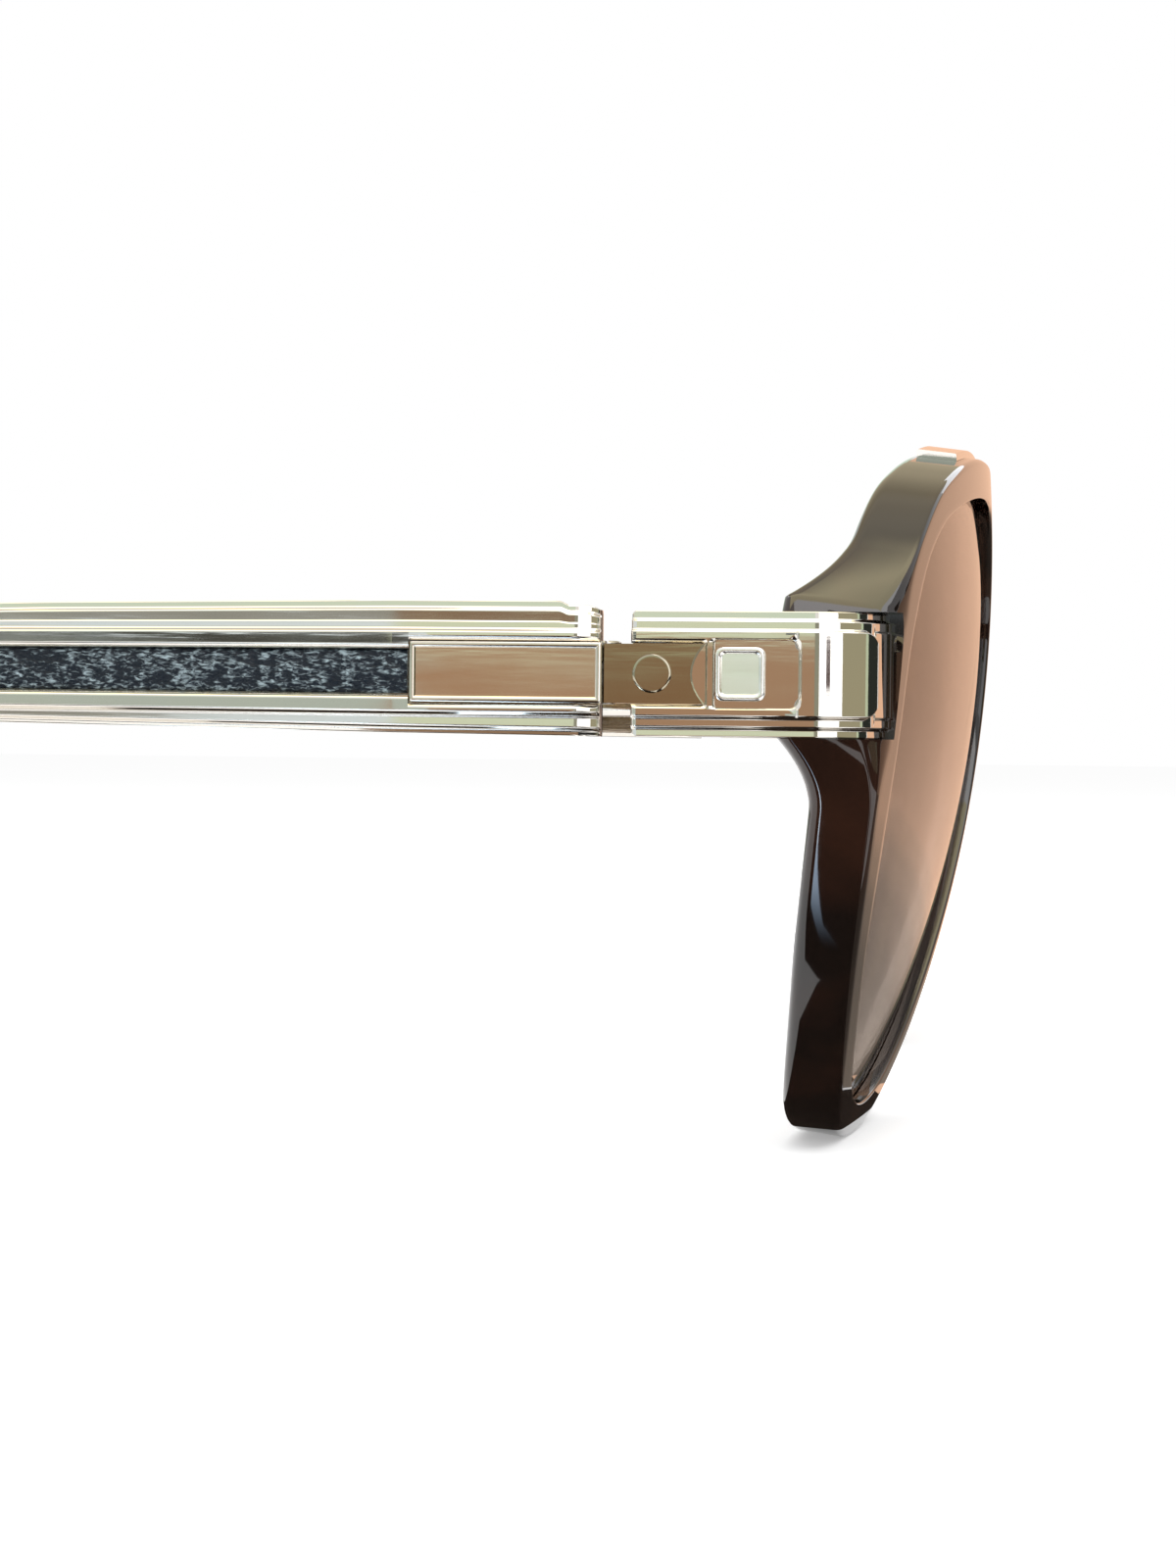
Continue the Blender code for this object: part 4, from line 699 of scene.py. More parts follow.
def rim_grid():
    """Rings round the lens opening: face, rounded edge, side, rounded back, opening wall and groove.

    Each ring is the opening's curve blended towards the outline's, set back by a depth. Edges are
    quarter circles, and the back rises over the hinge lug along a smooth step.
    """
    o, e = opening_curve(), outline_curve()
    away = outward(o)
    share = lug_share(e[:, 0], e[:, 1])
    way = unit(o - e)
    centre = np.zeros(len(e), bool)
    centre[len(e) - RIM_STEPS[-1] * FINE:] = True
    centre[0] = True
    edge = FRONT_EDGE + (LUG_EDGE - FRONT_EDGE) * share
    quarter = np.linspace(0, np.pi / 2, 9)
    rows = []

    def back(v, rise):
        return thickness(v) + LUG_DEPTH * rise

    def outer(inset, depth):
        at = e + way * np.broadcast_to(inset, share.shape)[:, None]
        at[centre, 0] = 0.0
        rows.append(front_points(at, depth(at[:, 1]), share))

    def inner(offset, depth):
        at = o + away * offset
        rows.append(front_points(at, depth(at[:, 1])))

    small = quarter[::2]
    for turn in small:
        inner(OPENING_EDGE * (1 - np.cos(turn)), lambda v, t=turn: OPENING_EDGE * (1 - np.sin(t)))
    near, far = o + away * OPENING_EDGE, e + way * edge[:, None]
    far[centre, 0] = 0.0
    for t in np.linspace(0, 1, 6)[1:-1]:
        at = near + (far - near) * t
        rows.append(front_points(at, 0.0, share * t))
    for turn in quarter:
        outer(edge * (1 - np.sin(turn)), lambda v, t=turn: edge * (1 - np.cos(t)))
    for t in (0.33, 0.67):
        outer(0.0, lambda v, t=t: edge + (back(v, share) - BACK_EDGE - edge) * t)
    for turn in quarter:
        outer(BACK_EDGE * (1 - np.cos(turn)), lambda v, t=turn: back(v, share) - BACK_EDGE * (1 - np.sin(t)))
    near, far = e + way * BACK_EDGE, o + away * OPENING_EDGE
    near[centre, 0] = 0.0
    for t in np.linspace(0, 1, 11)[1:]:
        at = near + (far - near) * t
        rise = share * (1 - smoothstep((t - LUG_PLATEAU) / (1 - LUG_PLATEAU)))
        rows.append(front_points(at, back(at[:, 1], rise), share * (1 - t)))
    for turn in small[1:]:
        inner(OPENING_EDGE * (1 - np.sin(turn)),
              lambda v, t=turn: back(v, 0.0) - OPENING_EDGE * (1 - np.cos(t)))
    inner(0.0, lambda v: LENS_DEPTH + LENS_THICK + RUN)
    inner(GROOVE_DEEP, lambda v: LENS_DEPTH + LENS_THICK / 2)
    inner(0.0, lambda v: LENS_DEPTH - RUN)
    return np.array(rows)


def front_body():
    """Both halves of the front: the rings of one half, its centre faces taken out, mirrored and welded."""
    piece = solid("acetate_front", rim_grid(), 1, loop=True)
    bm = bmesh.new()
    bm.from_mesh(piece.data)
    inner = [f for f in bm.faces if all(abs(v.co.x) < 1e-7 for v in f.verts)]
    bmesh.ops.delete(bm, geom=inner, context="FACES")
    bmesh.ops.delete(bm, geom=[v for v in bm.verts if not v.link_faces], context="VERTS")
    twin = bmesh.ops.duplicate(bm, geom=bm.verts[:] + bm.edges[:] + bm.faces[:])["geom"]
    bmesh.ops.scale(bm, vec=(-1, 1, 1), verts=[v for v in twin if isinstance(v, bmesh.types.BMVert)])
    bmesh.ops.remove_doubles(bm, verts=bm.verts, dist=1e-6)
    bmesh.ops.recalc_face_normals(bm, faces=bm.faces)
    bm.to_mesh(piece.data)
    bm.free()
    return piece


def brow_line():
    """Points, directions and outward directions along the brow's top, from crest to crest."""
    half = outline_curve()[:sum(RIM_STEPS[:BAR_SEGMENTS]) * FINE + 1]
    line = np.concatenate([half[:0:-1] * (-1, 1), half])
    along = unit(np.gradient(line, axis=0))
    return line, along, np.stack([-along[:, 1], along[:, 0]], -1)


def brow_body(name, room=0.0, edge=BAR_EDGE):
    """Strip of rectangular section carried along the brow, its depth behind the face held constant."""
    line, along, out = brow_line()
    top = BAR_PROUD if room == 0.0 else BAR_PROUD + BAR_SUNK
    near, far, low = BAR_DEPTH - room, BAR_DEPTH + BAR_WIDTH + room, -BAR_SUNK - room
    section = softened([(near, low), (far, low), (far, top), (near, top)], edge)
    line[0] -= along[0] * room
    line[-1] += along[-1] * room
    at = line[:, None] + out[:, None] * section[None, :, 1:]
    flat = np.stack([np.abs(at[..., 0]), at[..., 1]], -1)
    grid = front_points(flat, section[None, :, 0])
    grid[..., 0] *= np.where(at[..., 0] >= 0, 1, -1)
    return solid(name, grid)


def nose_pad_body(name, side):
    """Pad on the rim beside the nose: a half dome across, swelling and dying away along the rim."""
    o, e = opening_curve(), outline_curve()
    starts = np.concatenate([[0], np.cumsum(RIM_STEPS)]) * FINE
    run = np.linspace(0, 1, 33)
    share = PAD_FROM + (PAD_TO - PAD_FROM) * run
    index = np.interp(share, np.arange(len(starts)), starts)
    low = index.astype(int)
    rest = (index - low)[:, None]
    e = e[low] * (1 - rest) + e[low + 1] * rest
    o = o[low] * (1 - rest) + o[low + 1] * rest
    way = unit(o - e)
    swell = np.sin(np.pi * (PAD_END + (1 - 2 * PAD_END) * run)) ** 0.5
    turn = np.linspace(0, np.pi, 15)
    across = 0.5 * np.cos(turn) - PAD_LEAN * np.sin(turn)
    rise = np.sin(turn) ** 0.8
    middle = e + way * (BACK_EDGE + PAD_INSET)
    spot = middle[:, None] + way[:, None] * (across * PAD_WIDTH)[None, :, None] * swell[:, None, None]
    depth = thickness(spot[..., 1]) + RUN + rise * PAD_HEIGHT * swell[:, None]
    return solid(name, front_points(spot, depth), side)


def lens_body(name, side):
    """Rings that shrink from the opening to the middle, crowned forward, with a V edge for the groove."""
    opening = opening_curve()[::2]
    away = outward(opening)
    middle = np.array(LENS_MIDDLE)
    shares = np.sin(np.linspace(LENS_HUB, np.pi / 2, LENS_RINGS))
    back = LENS_DEPTH + LENS_THICK

    def ring(share, depth, spread):
        at = middle + (opening - middle) * share + away * spread
        return front_points(at, depth - LENS_CROWN * (1 - share ** 2))

    rows = [ring(s, LENS_DEPTH, -RUN * s ** 8) for s in shares]
    rows.append(ring(1.0, LENS_DEPTH + LENS_THICK / 2, GROOVE_DEEP - 2 * RUN))
    rows += [ring(s, back, -RUN * s ** 8) for s in shares[::-1]]
    poles = [front_points(middle, depth - LENS_CROWN) for depth in (LENS_DEPTH, back)]
    return solid(name, np.array(rows), side, poles=poles)


# End piece

def shell_thick(turn):
    """Thickness of the end piece round the corner, which falls evenly with the turn."""
    return SHELL_THICK + (SHELL_END_THICK - SHELL_THICK) * turn / CORNER_TURN


def corner_path():
    """Outer face of the end piece, rear to front, as arrays of u, y and turn, with its field's half and drop.

    The field ends in two round corners, of which each is a quarter circle, and then falls to the frame.
    """
    ease = 1 - np.sin(np.linspace(0, np.pi / 2, 7))
    ramp, step = FIELD_RAISE * np.array(FIELD_STEP).T
    edge, edge_fall = np.array(FIELD_FALL).T
    y = np.concatenate([END_REAR - END_ROUND * (1 - ease), [BLOCK_FRONT + SHELL_THICK / 2, BLOCK_FRONT],
                        FIELD_REAR + ramp])
    rise = np.concatenate([np.zeros(len(y) - len(step)), step])
    corner = np.linspace(0, np.pi / 2, 12)
    from_turn = FIELD_TURN - FIELD_CORNER / CORNER_RADIUS
    close = from_turn + (FIELD_TURN - from_turn) * np.sin(corner[:-1])
    close = close[close < FIELD_TURN + edge[0] / CORNER_RADIUS]
    edges = FIELD_TURN + np.append(edge, FIELD_CLEAR[0]) / CORNER_RADIUS
    turn = np.concatenate([np.linspace(0, from_turn, 24)[:-1], close, edges,
                           np.linspace(FIELD_TURN + FIELD_CLEAR[1] / CORNER_RADIUS, CORNER_TURN, 14)])
    short = np.clip(FIELD_CORNER - (FIELD_TURN - turn) * CORNER_RADIUS, 0.0, FIELD_CORNER)
    half = FIELD_HALF - FIELD_CORNER + np.sqrt(FIELD_CORNER ** 2 - short ** 2)
    half[turn > FIELD_TURN + FIELD_FULL / CORNER_RADIUS] = FIELD_HALF
    fall = np.interp((turn - FIELD_TURN) * CORNER_RADIUS, edge, edge_fall)
    u_arc = OUTER_FACE - CORNER_RADIUS * (1 - np.cos(turn))
    y_arc = CORNER_START - CORNER_RADIUS * np.sin(turn)
    flat = len(y)
    return (np.concatenate([np.full(flat, OUTER_FACE), u_arc]), np.concatenate([y, y_arc]),
            np.concatenate([np.zeros(flat), turn]), np.concatenate([np.full(flat, FIELD_HALF), half]),
            np.concatenate([-rise, fall - FIELD_RAISE]))


def on_corner(u, y, turn, drop, v):
    """Points below the outer face of the end piece by a drop, at a height."""
    drop, v = np.broadcast_arrays(drop, v)
    u, y, turn = u[:, None], y[:, None], turn[:, None]
    return np.stack([u - drop * np.cos(turn), y + drop * np.sin(turn), v], -1)


def slot_cutter(name, ends, half, radii, floor, mouth, side):
    """Cutter for a slot in the side: a rounded rectangle that spreads at each level of its mouth."""
    rings = []
    for level, along, across in [(-floor, 0.0, 0.0)] + mouth:
        front, rear, high = ends[0] - along, ends[1] + along, half + across
        corners = [(front, -high), (rear, -high), (rear, high), (front, high)]
        flat = softened(corners, np.array(radii + radii[::-1])[:, None], 7)
        rings.append(np.insert(flat, 0, OUTER_FACE + level, axis=1))
    return solid(name, np.array(rings), side)


def mirrored_section(drop, high, low_drop, low_high):
    """Section of an upper half and, run backwards, a lower half, with eased corners."""
    across = np.concatenate([drop, low_drop[:, ::-1]], 1)
    upright = np.concatenate([high, -low_high[:, ::-1]], 1)
    return softened(np.stack([across, upright], -1), EASED)


def end_piece_body(name, side):
    """Stepped section carried round the corner, a little crowned, with its channel and its recess."""
    u, y, turn, field_half, field_drop = corner_path()
    thick = np.where(y > BLOCK_FRONT + 0.01, BLOCK_THICK, shell_thick(turn))
    rear = np.clip((y - (END_REAR - END_ROUND)) / END_ROUND, 0, 1)
    front = np.clip((turn - CORNER_TURN + FRONT_EASE_TURN) / FRONT_EASE_TURN, 0, 1)
    ease = END_EASE * (1 - np.sqrt(1 - np.maximum(rear, FRONT_EASE * front) ** 2))
    zero = 0 * ease
    low, middle, top = 2 * STEP_DROP + ease, STEP_DROP + ease, field_drop + ease
    drop = np.stack([thick - ease, low, low, middle, middle, top], -1)
    high = np.stack([END_HALF - ease, END_HALF - ease, MIDDLE_HALF + STEP_RUN + zero, MIDDLE_HALF + zero,
                     field_half + STEP_RUN, field_half], -1)
    low_drop = drop.copy()
    drop[:, 1] += EDGE_FALL
    low_drop[:, 1] -= LIP_RISE
    for part in (drop, low_drop):
        part[:, 3] += FACE_FALL
    section = mirrored_section(drop, high, low_drop, high)
    piece = solid(name, on_corner(u, y, turn, section[..., 0], section[..., 1]), side)
    channel = slot_cutter("channel", (WEB_REAR, END_REAR + 2), CHANNEL_HALF, (WEB_FOOT, MOUTH_CORNER),
                          CHANNEL_FLOOR, CHANNEL_MOUTH, side)
    recess = slot_cutter("recess", (FIELD_REAR, WEB_FRONT), RECESS_HALF, (RECESS_CORNER, WEB_FOOT),
                         TILE_FLOOR, RECESS_MOUTH, side)
    return carve(piece, [channel, recess])


def pocket_body(side):
    """Space in the front that the end piece fills, from its inner face outward."""
    u, y, turn, _, _ = corner_path()
    keep = y < FIELD_REAR + 0.01
    u, y, turn = (np.concatenate([[first], part[keep]]) for first, part in (
        (OUTER_FACE, u), (BLOCK_FRONT + 4.0, y), (0.0, turn)))
    u[-1] -= RUN * np.sin(turn[-1])
    y[-1] -= RUN * np.cos(turn[-1])
    inner = shell_thick(turn) + RUN
    high = END_HALF + RUN
    drop = np.stack([inner, np.full_like(u, -4.0), np.full_like(u, -4.0), inner], -1)
    v = np.broadcast_to([-high, -high, high, high], drop.shape)
    return solid("pocket", on_corner(u, y, turn, drop, v), side)


def panel_body(name, low, high, border, sink, side, corner, lean=0.0):
    """Flat plate whose outer face is sunk inside a rounded border with eased corners, and may lean back."""
    (u0, y0, v0), (u1, y1, v1) = low, high
    levels = [(u0, 0.0)] + [(u1 - sink * fall, border * inset) for fall, inset in PANEL_RIM]
    rings = []
    for u, inset in levels:
        front, rear, low, top = y0 + inset, y1 - inset, v0 + inset, v1 - inset
        corners = [(front, low), (rear, low), (rear, top), (front, top)]
        flat = softened(corners, max(corner - inset * 0.5, 0.05), 6)
        sunk = 1.0 if inset > border else 0.0
        rings.append(np.insert(flat, 0, u - lean * sunk * (flat[:, 1] - v0), axis=1))
    return solid(name, np.array(rings), side)


# Temple

def temple_points(along, out, up):
    """Points of the temple: along its path, out from its inner face and up from its middle."""
    along, out, up = np.broadcast_arrays(along, out, up)
    turn = np.clip((along - BEND_START) / BEND_RADIUS, 0, BEND_ANGLE)
    past = np.maximum(0.0, along - BEND_END)
    y = np.minimum(along, BEND_START) + BEND_RADIUS * np.sin(turn) + past * np.cos(turn)
    v = -BEND_RADIUS * (1 - np.cos(turn)) - past * np.sin(turn)
    inward = BOW * (np.maximum(0.0, along - TAPER_START) / (TEMPLE_END - TAPER_START)) ** 2
    return np.stack([INNER_FACE - inward + out, y + up * np.sin(turn), v + up * np.cos(turn)], -1)


def taper(along):
    """Share of the full height that the temple keeps."""
    share = np.clip((along - TAPER_START) / (CORE_REAR - TAPER_START), 0.0, 1.0)
    return 1 - (1 - REAR_HALF / TEMPLE_HALF) * share


def top_half(along):
    """Height of the top edge: a falling nose, a level shoulder and a crest that fades out."""
    nose = NOSE_DROP * np.clip(1 - (along - TEMPLE_FRONT) / NOSE_LENGTH, 0.0, 1.0) ** 2
    fade = np.clip((CORE_REAR - along) / (CORE_REAR - TAPER_START), 0.0, 1.0)
    crest = TEMPLE_HALF * taper(along) + CREST * fade
    step = smoothstep((along - CREST_START + CREST_RAMP) / CREST_RAMP)
    rise = TOP_RISE * (1 - smoothstep((along - BODY_REAR) / (CORE_REAR - BODY_REAR)))
    return (SHOULDER_HALF - nose) * (1 - step) + crest * step + rise


def low_half(along):
    """Height of the bottom edge below the middle: it rises from the plate to the tip."""
    share = np.clip((along - TEMPLE_FRONT) / (CORE_REAR - TEMPLE_FRONT), 0.0, 1.0)
    return TEMPLE_HALF * taper(along) - LOW_RISE * share


def core_body(name, side):
    """Stepped and crowned section with its slot, carried along the temple; its front end rolls inward."""
    start = TEMPLE_FRONT + ROLL_LENGTH * (1 - np.cos(np.linspace(0, np.pi / 2, 16)))
    ramp = CREST_START - CREST_RAMP * np.array([0.9, 0.75, 0.6, 0.45, 0.3, 0.15, 0.0])
    along = np.concatenate([start[start < ramp[0]], ramp, np.linspace(26, PLATE_REAR, 6), [PLATE_REAR + 0.02],
                            np.linspace(TAPER_START, CORE_REAR, 24)])
    near = np.clip(1 - (along - TEMPLE_FRONT) / ROLL_LENGTH, 0, 1)
    share = taper(along)
    roll = ROLL_DEPTH * (1 - np.sqrt(1 - near ** 2))
    rail = TEMPLE_THICK - roll
    slot = share * np.where(along < PLATE_REAR + 0.01, PLATE_SLOT_HALF, INLAY_SLOT_HALF)
    bevel = np.minimum(SLOT_BEVEL, (rail - SLOT_FLOOR) / 2)
    middle = MID_LEVEL - roll
    low = LOW_LEVEL - roll
    full = np.ones_like(along)
    halves = []
    for tall, rail_half, notch_share, falls in (
            (top_half(along), RAIL_HALF * share, NOTCH_SHARE, (RAIL_FALL, EDGE_FALL)),
            (low_half(along), LOW_RAIL_HALF * share, LOW_NOTCH_SHARE, (-LIP_RISE, LOW_FALL))):
        mid = np.minimum(MID_HALF * tall / TEMPLE_HALF, tall - STEP_LEAST)
        rail_half = np.minimum(rail_half, mid - STEP_SLOPE - STEP_LEAST)
        notch = rail_half + STEP_SLOPE + (mid - rail_half - STEP_SLOPE) * notch_share
        cut = middle - np.minimum(NOTCH_DROP, (middle - low) / 3)
        foot = np.minimum(mid + STEP_SLOPE * 0.8, tall - STEP_LEAST * 0.6)
        out = np.stack([SLOT_FLOOR * full, rail - bevel, rail, rail - FLAT_FALL, middle, middle - FLAT_FALL,
                        cut, cut - falls[0], low, low - falls[1], TEMPLE_CHAMFER * full, 0.0 * full], -1)
        up = np.stack([slot, slot, slot + bevel, rail_half, rail_half + STEP_SLOPE, notch,
                       notch + NOTCH_DROP, mid, foot, tall, tall, tall - TEMPLE_CHAMFER], -1)
        halves.append((out, up))
    section = mirrored_section(*halves[0], *halves[1])
    return solid(name, temple_points(along[:, None], section[..., 0], section[..., 1]), side)


def crumple(rows, columns, seed):
    """Relief of creased leather: ridges where smooth random fields of falling size cross their middle."""
    random = np.random.default_rng(seed)
    total = np.zeros((rows, columns))
    for size, weight in ((9, 1.0), (5, 0.6), (3, 0.35)):
        lattice = random.random((rows // size + 3, columns // size + 3))
        at = [np.arange(n) / size for n in (rows, columns)]
        low = [a.astype(int) for a in at]
        rest = [smoothstep(a - b) for a, b in zip(at, low)]
        r, c = np.ix_(low[0], low[1])
        s, t = rest[0][:, None], rest[1][None]
        field = ((lattice[r, c] * (1 - s) + lattice[r + 1, c] * s) * (1 - t)
                 + (lattice[r, c + 1] * (1 - s) + lattice[r + 1, c + 1] * s) * t)
        total += weight * np.abs(2 * field - 1)
    return total / total.max()


def inlay_body(name, side):
    """Leather strip, crowned across and creased, with its edges turned down into the slot."""
    along = np.concatenate([[PLATE_REAR + 0.1], np.linspace(TAPER_START - 1.05, CORE_REAR - RUN, 420)])
    turn = np.linspace(0, np.pi, 31)
    half = INLAY_SLOT_HALF - RUN
    up = np.concatenate([[half], half * np.cos(turn), [-half]])
    crown = np.concatenate([[0.0], INLAY_SIDE + INLAY_CROWN * np.sin(turn) ** 0.7, [0.0]])
    relief = np.zeros((len(along), len(up)))
    relief[1:-1, 2:-2] = crumple(len(along) - 2, len(up) - 4, 5 + side)
    out = SLOT_FLOOR + RUN + crown[None] * (1 - INLAY_CREASE * relief)
    piece = solid(name, temple_points(along[:, None], out, up[None] * taper(along)[:, None]), side)
    # Crest height is 1 on the raised leather and 0 in the creases; the leather material paints pale glints
    # where it is high
    piece.data.attributes.new("crest", "FLOAT", "POINT").data.foreach_set("value", 1 - relief.ravel())
    return piece


def tip_half(along):
    """Half height of the tip: a slim neck at the bend and a fuller end."""
    first = blended(smoothstep((along - CORE_REAR) / (BEND_END - CORE_REAR)), REAR_HALF, TIP_NECK_HALF)
    share = (along - BEND_END) / (TEMPLE_END - BEND_END)
    second = blended(smoothstep(1.2 * share), TIP_NECK_HALF, TIP_END_HALF)
    return np.where(along < BEND_END, first, second)


def tip_body(name, side):
    """Superellipse section carried down the bend, closing in a rounded end, flat where it stands."""
    first = CORE_REAR + RUN
    body = np.concatenate([[first, first + TIP_MOUTH / 4, first + TIP_MOUTH],
                           np.linspace(CORE_REAR + 1, TEMPLE_END - TIP_ROUND, 90)])
    turn = np.radians(np.linspace(8, 86, 14))
    end = TEMPLE_END - TIP_ROUND * (1 - np.sin(turn))
    along = np.concatenate([body, end])
    share = (along - CORE_REAR) / (TEMPLE_END - CORE_REAR)
    thin = (TIP_THICK + (TIP_END_THICK - TIP_THICK) * share) / 2
    high = tip_half(along)
    mouth = np.clip((first + TIP_MOUTH - along) / TIP_MOUTH, 0, 1)
    thin = thin - TIP_MOUTH_DROP * mouth ** 2
    high = high - TIP_MOUTH_DROP * mouth ** 2
    thin[len(body):] *= np.cos(turn) ** 0.6
    high[len(body):] -= TIP_ROUND * (1 - np.cos(turn))
    angle = np.linspace(0, 2 * np.pi, 64, endpoint=False)
    across, upright = (np.sign(f) * np.abs(f) ** (2 / TIP_SQUARENESS) for f in (np.cos(angle), np.sin(angle)))
    short = LOW_RISE * (1 - smoothstep((along - CORE_REAR) / (BEND_END - CORE_REAR)))
    up = high[:, None] * upright
    up = np.where(up < 0, up * (1 - short / high)[:, None], up)
    piece = solid(name, temple_points(along[:, None], TEMPLE_THICK / 2 + thin[:, None] * across, up), side)
    return carve(piece, [floor_cutter()])


def floor_cutter():
    """Everything below the surface that the sunglasses stand on."""
    corners = [(-90.0, -40.0), (90.0, -40.0), (90.0, 200.0), (-90.0, 200.0)]
    return extruded("floor_cut", corners, -REST_DROP - 10, -REST_DROP, 2)


def housing_body(name, side):
    """Spring housing: a long rounded block on the temple's inner face, softer away from it."""
    low, high = INNER_FACE - RUN - HOUSING_DEEP, INNER_FACE - RUN
    half = HOUSING_HALF
    corners = [(low, -half), (high, -half), (high, half), (low, half)]
    radii = np.array([[HOUSING_CORNER], [HOUSING_FOOT], [HOUSING_FOOT], [HOUSING_CORNER]])
    turn = np.linspace(0, np.pi / 2, 6)
    back, inset = 1 - np.sin(turn), 1 - np.cos(turn)
    front = zip(HOUSING_FRONT + HOUSING_MOUTH * back[::-1], HOUSING_MOUTH * inset[::-1])
    rear = zip(HOUSING_REAR - HOUSING_TAIL * back, HOUSING_TAIL * inset)
    middle = np.array([(low + high) / 2, 0.0])
    reach = np.array([(high - low) / 2, half])
    section = softened(corners, radii, 7)
    rings = [np.insert(middle + (section - middle) * (1 - inset / reach), 1, y, axis=1)
             for y, inset in (*front, *rear)]
    piece = solid(name, np.array(rings), side)
    profile = [(-1.0, BORE_RADIUS), (BORE_DEPTH, BORE_RADIUS)]
    bore = turned("bore", profile, (PIVOT_U, HOUSING_FRONT, 0.0), "y", side, 24)
    return carve(piece, [bore])


def coil_body(name, side):
    """Spring round the rod: a round wire carried along a helix, with flat ends."""
    turn = np.linspace(0, 2 * np.pi * COIL_TURNS, COIL_STEPS * COIL_TURNS + 1)[:, None]
    bend = np.linspace(0, 2 * np.pi, COIL_SIDES, endpoint=False)
    reach = COIL_RADIUS + COIL_WIRE * np.cos(bend)
    along = COIL_FRONT + (COIL_REAR - COIL_FRONT) * turn / turn[-1] + COIL_WIRE * np.sin(bend)
    return solid(name, np.stack([PIVOT_U + reach * np.cos(turn), along, reach * np.sin(turn)], -1), side)


def slotted_head(name, profile, origin, axis, cut, side):
    """Screw head turned from a profile, with a straight driver slot of a half width and a depth across it."""
    piece = turned(name, profile, origin, axis, side, 40)
    half, deep = cut
    reach = max(radius for _, radius in profile) + 1
    if axis == "v":
        across, middle = 0, origin[1]
        low, high = origin[2] + max(profile)[0] - deep, origin[2] + max(profile)[0] + 1
        corners = [(middle - half, low), (middle + half, low), (middle + half, high), (middle - half, high)]
    else:
        across, middle = 1, origin[2]
        low, high = origin[0] + min(profile)[0] - 1, origin[0] + min(profile)[0] + deep
        corners = [(low, middle - half), (high, middle - half), (high, middle + half), (low, middle + half)]
    slot = extruded("slot", corners, origin[across] - reach, origin[across] + reach, across, side)
    return carve(piece, [slot])


# Sizes and colours that a user would change

def colour_setting(**about):
    """Colour property of three shares of light from 0 to 1."""
    return bpy.props.FloatVectorProperty(subtype="COLOR", size=3, min=0, max=1, **about)


class SunglassesLook(bpy.types.PropertyGroup):
    """Colours and grain of the finishes."""

    acetate_dark: colour_setting(
        name="Acetate Dark", description="Main colour of the acetate", default=(0.008, 0.005, 0.004))
    acetate_brown: colour_setting(
        name="Acetate Brown", description="Colour of the clouds in the acetate", default=(0.030, 0.012, 0.007))
    metal_colour: colour_setting(
        name="Metal", description="Colour of the rails and end pieces", default=(0.74, 0.71, 0.66))
    plate_colour: colour_setting(
        name="Plate", description="Colour of the bare plate", default=(0.78, 0.72, 0.64))
    leaf_colour: colour_setting(
        name="Leaf", description="Colour of the hinge leaf and its rivet", default=(0.42, 0.38, 0.29))
    tile_colour: colour_setting(
        name="Tile", description="Colour of the square tile", default=(0.90, 0.90, 0.88))
    steel_colour: colour_setting(
        name="Steel", description="Colour of the screws, pins and springs", default=(0.55, 0.55, 0.56))
    leather_colour: colour_setting(
        name="Leather", description="Colour of the leather inlay", default=(0.005, 0.010, 0.018))
    # Pale colour of the painted glints on the leather's crests
    leather_crest: colour_setting(
        name="Leather Crest", description="Colour of the leather's worn crests", default=(0.38, 0.48, 0.52))
    leather_grain: bpy.props.FloatProperty(
        name="Leather Grain", description="Size of the leather's grain, 1 as built", min=0.3, max=3,
        default=1.0)
    lens_high: colour_setting(
        name="Lens Top", description="Tint of the lens at the top", default=(0.22, 0.12, 0.08))
    lens_low: colour_setting(
        name="Lens Bottom", description="Tint of the lens at the bottom", default=(0.36, 0.30, 0.26))


class SunglassesStage(bpy.types.PropertyGroup):
    """Studio and camera."""

    lens: bpy.props.FloatProperty(
        name="Lens", description="Focal length of the camera", subtype="DISTANCE_CAMERA", default=71.28)
    yaw: bpy.props.FloatProperty(
        name="Yaw", description="Turn of the camera towards the front", subtype="ANGLE",
        default=float(np.radians(5)))
    pitch: bpy.props.FloatProperty(
        name="Pitch", description="Downward turn of the camera", subtype="ANGLE",
        default=float(np.radians(0.85)))
    roll: bpy.props.FloatProperty(
        name="Roll", description="Turn of the camera about its view", subtype="ANGLE",
        default=float(np.radians(0.6)))
    key_power: bpy.props.FloatProperty(
        name="Key Power", description="Power of the large lamp above", subtype="POWER", default=4.0)
    world_strength: bpy.props.FloatProperty(
        name="World Strength", description="Strength of the even light all round", min=0, default=0.7)


class SUNGLASSES_OT_front(bpy.types.Operator):
    """Sculpted acetate front with its brow bar and nose pads"""

    bl_idname = "sunglasses.front"
    bl_label = "Acetate Front"

    def execute(self, context):
        finish = materials(context.scene.sunglasses_look)
        pockets = [pocket_body(side) for side in SIDES.values()]
        piece = carve(front_body(), pockets + [brow_body("bar_channel", RUN, 0.0), floor_cutter()])
        finished(piece, finish["Dark Acetate"], "dark_acetate", "front", "front_frame", crease=40)
        finished(brow_body("brow_strip"), finish["Polished Metal"], "polished_metal", "front", "brow_bar")
        for name, side in SIDES.items():
            pad = nose_pad_body(f"soft_pad_{name}", side)
            finished(pad, finish["Dark Acetate"], "dark_acetate", "front", f"nose_pad_{name}", crease=50)
        return {"FINISHED"}


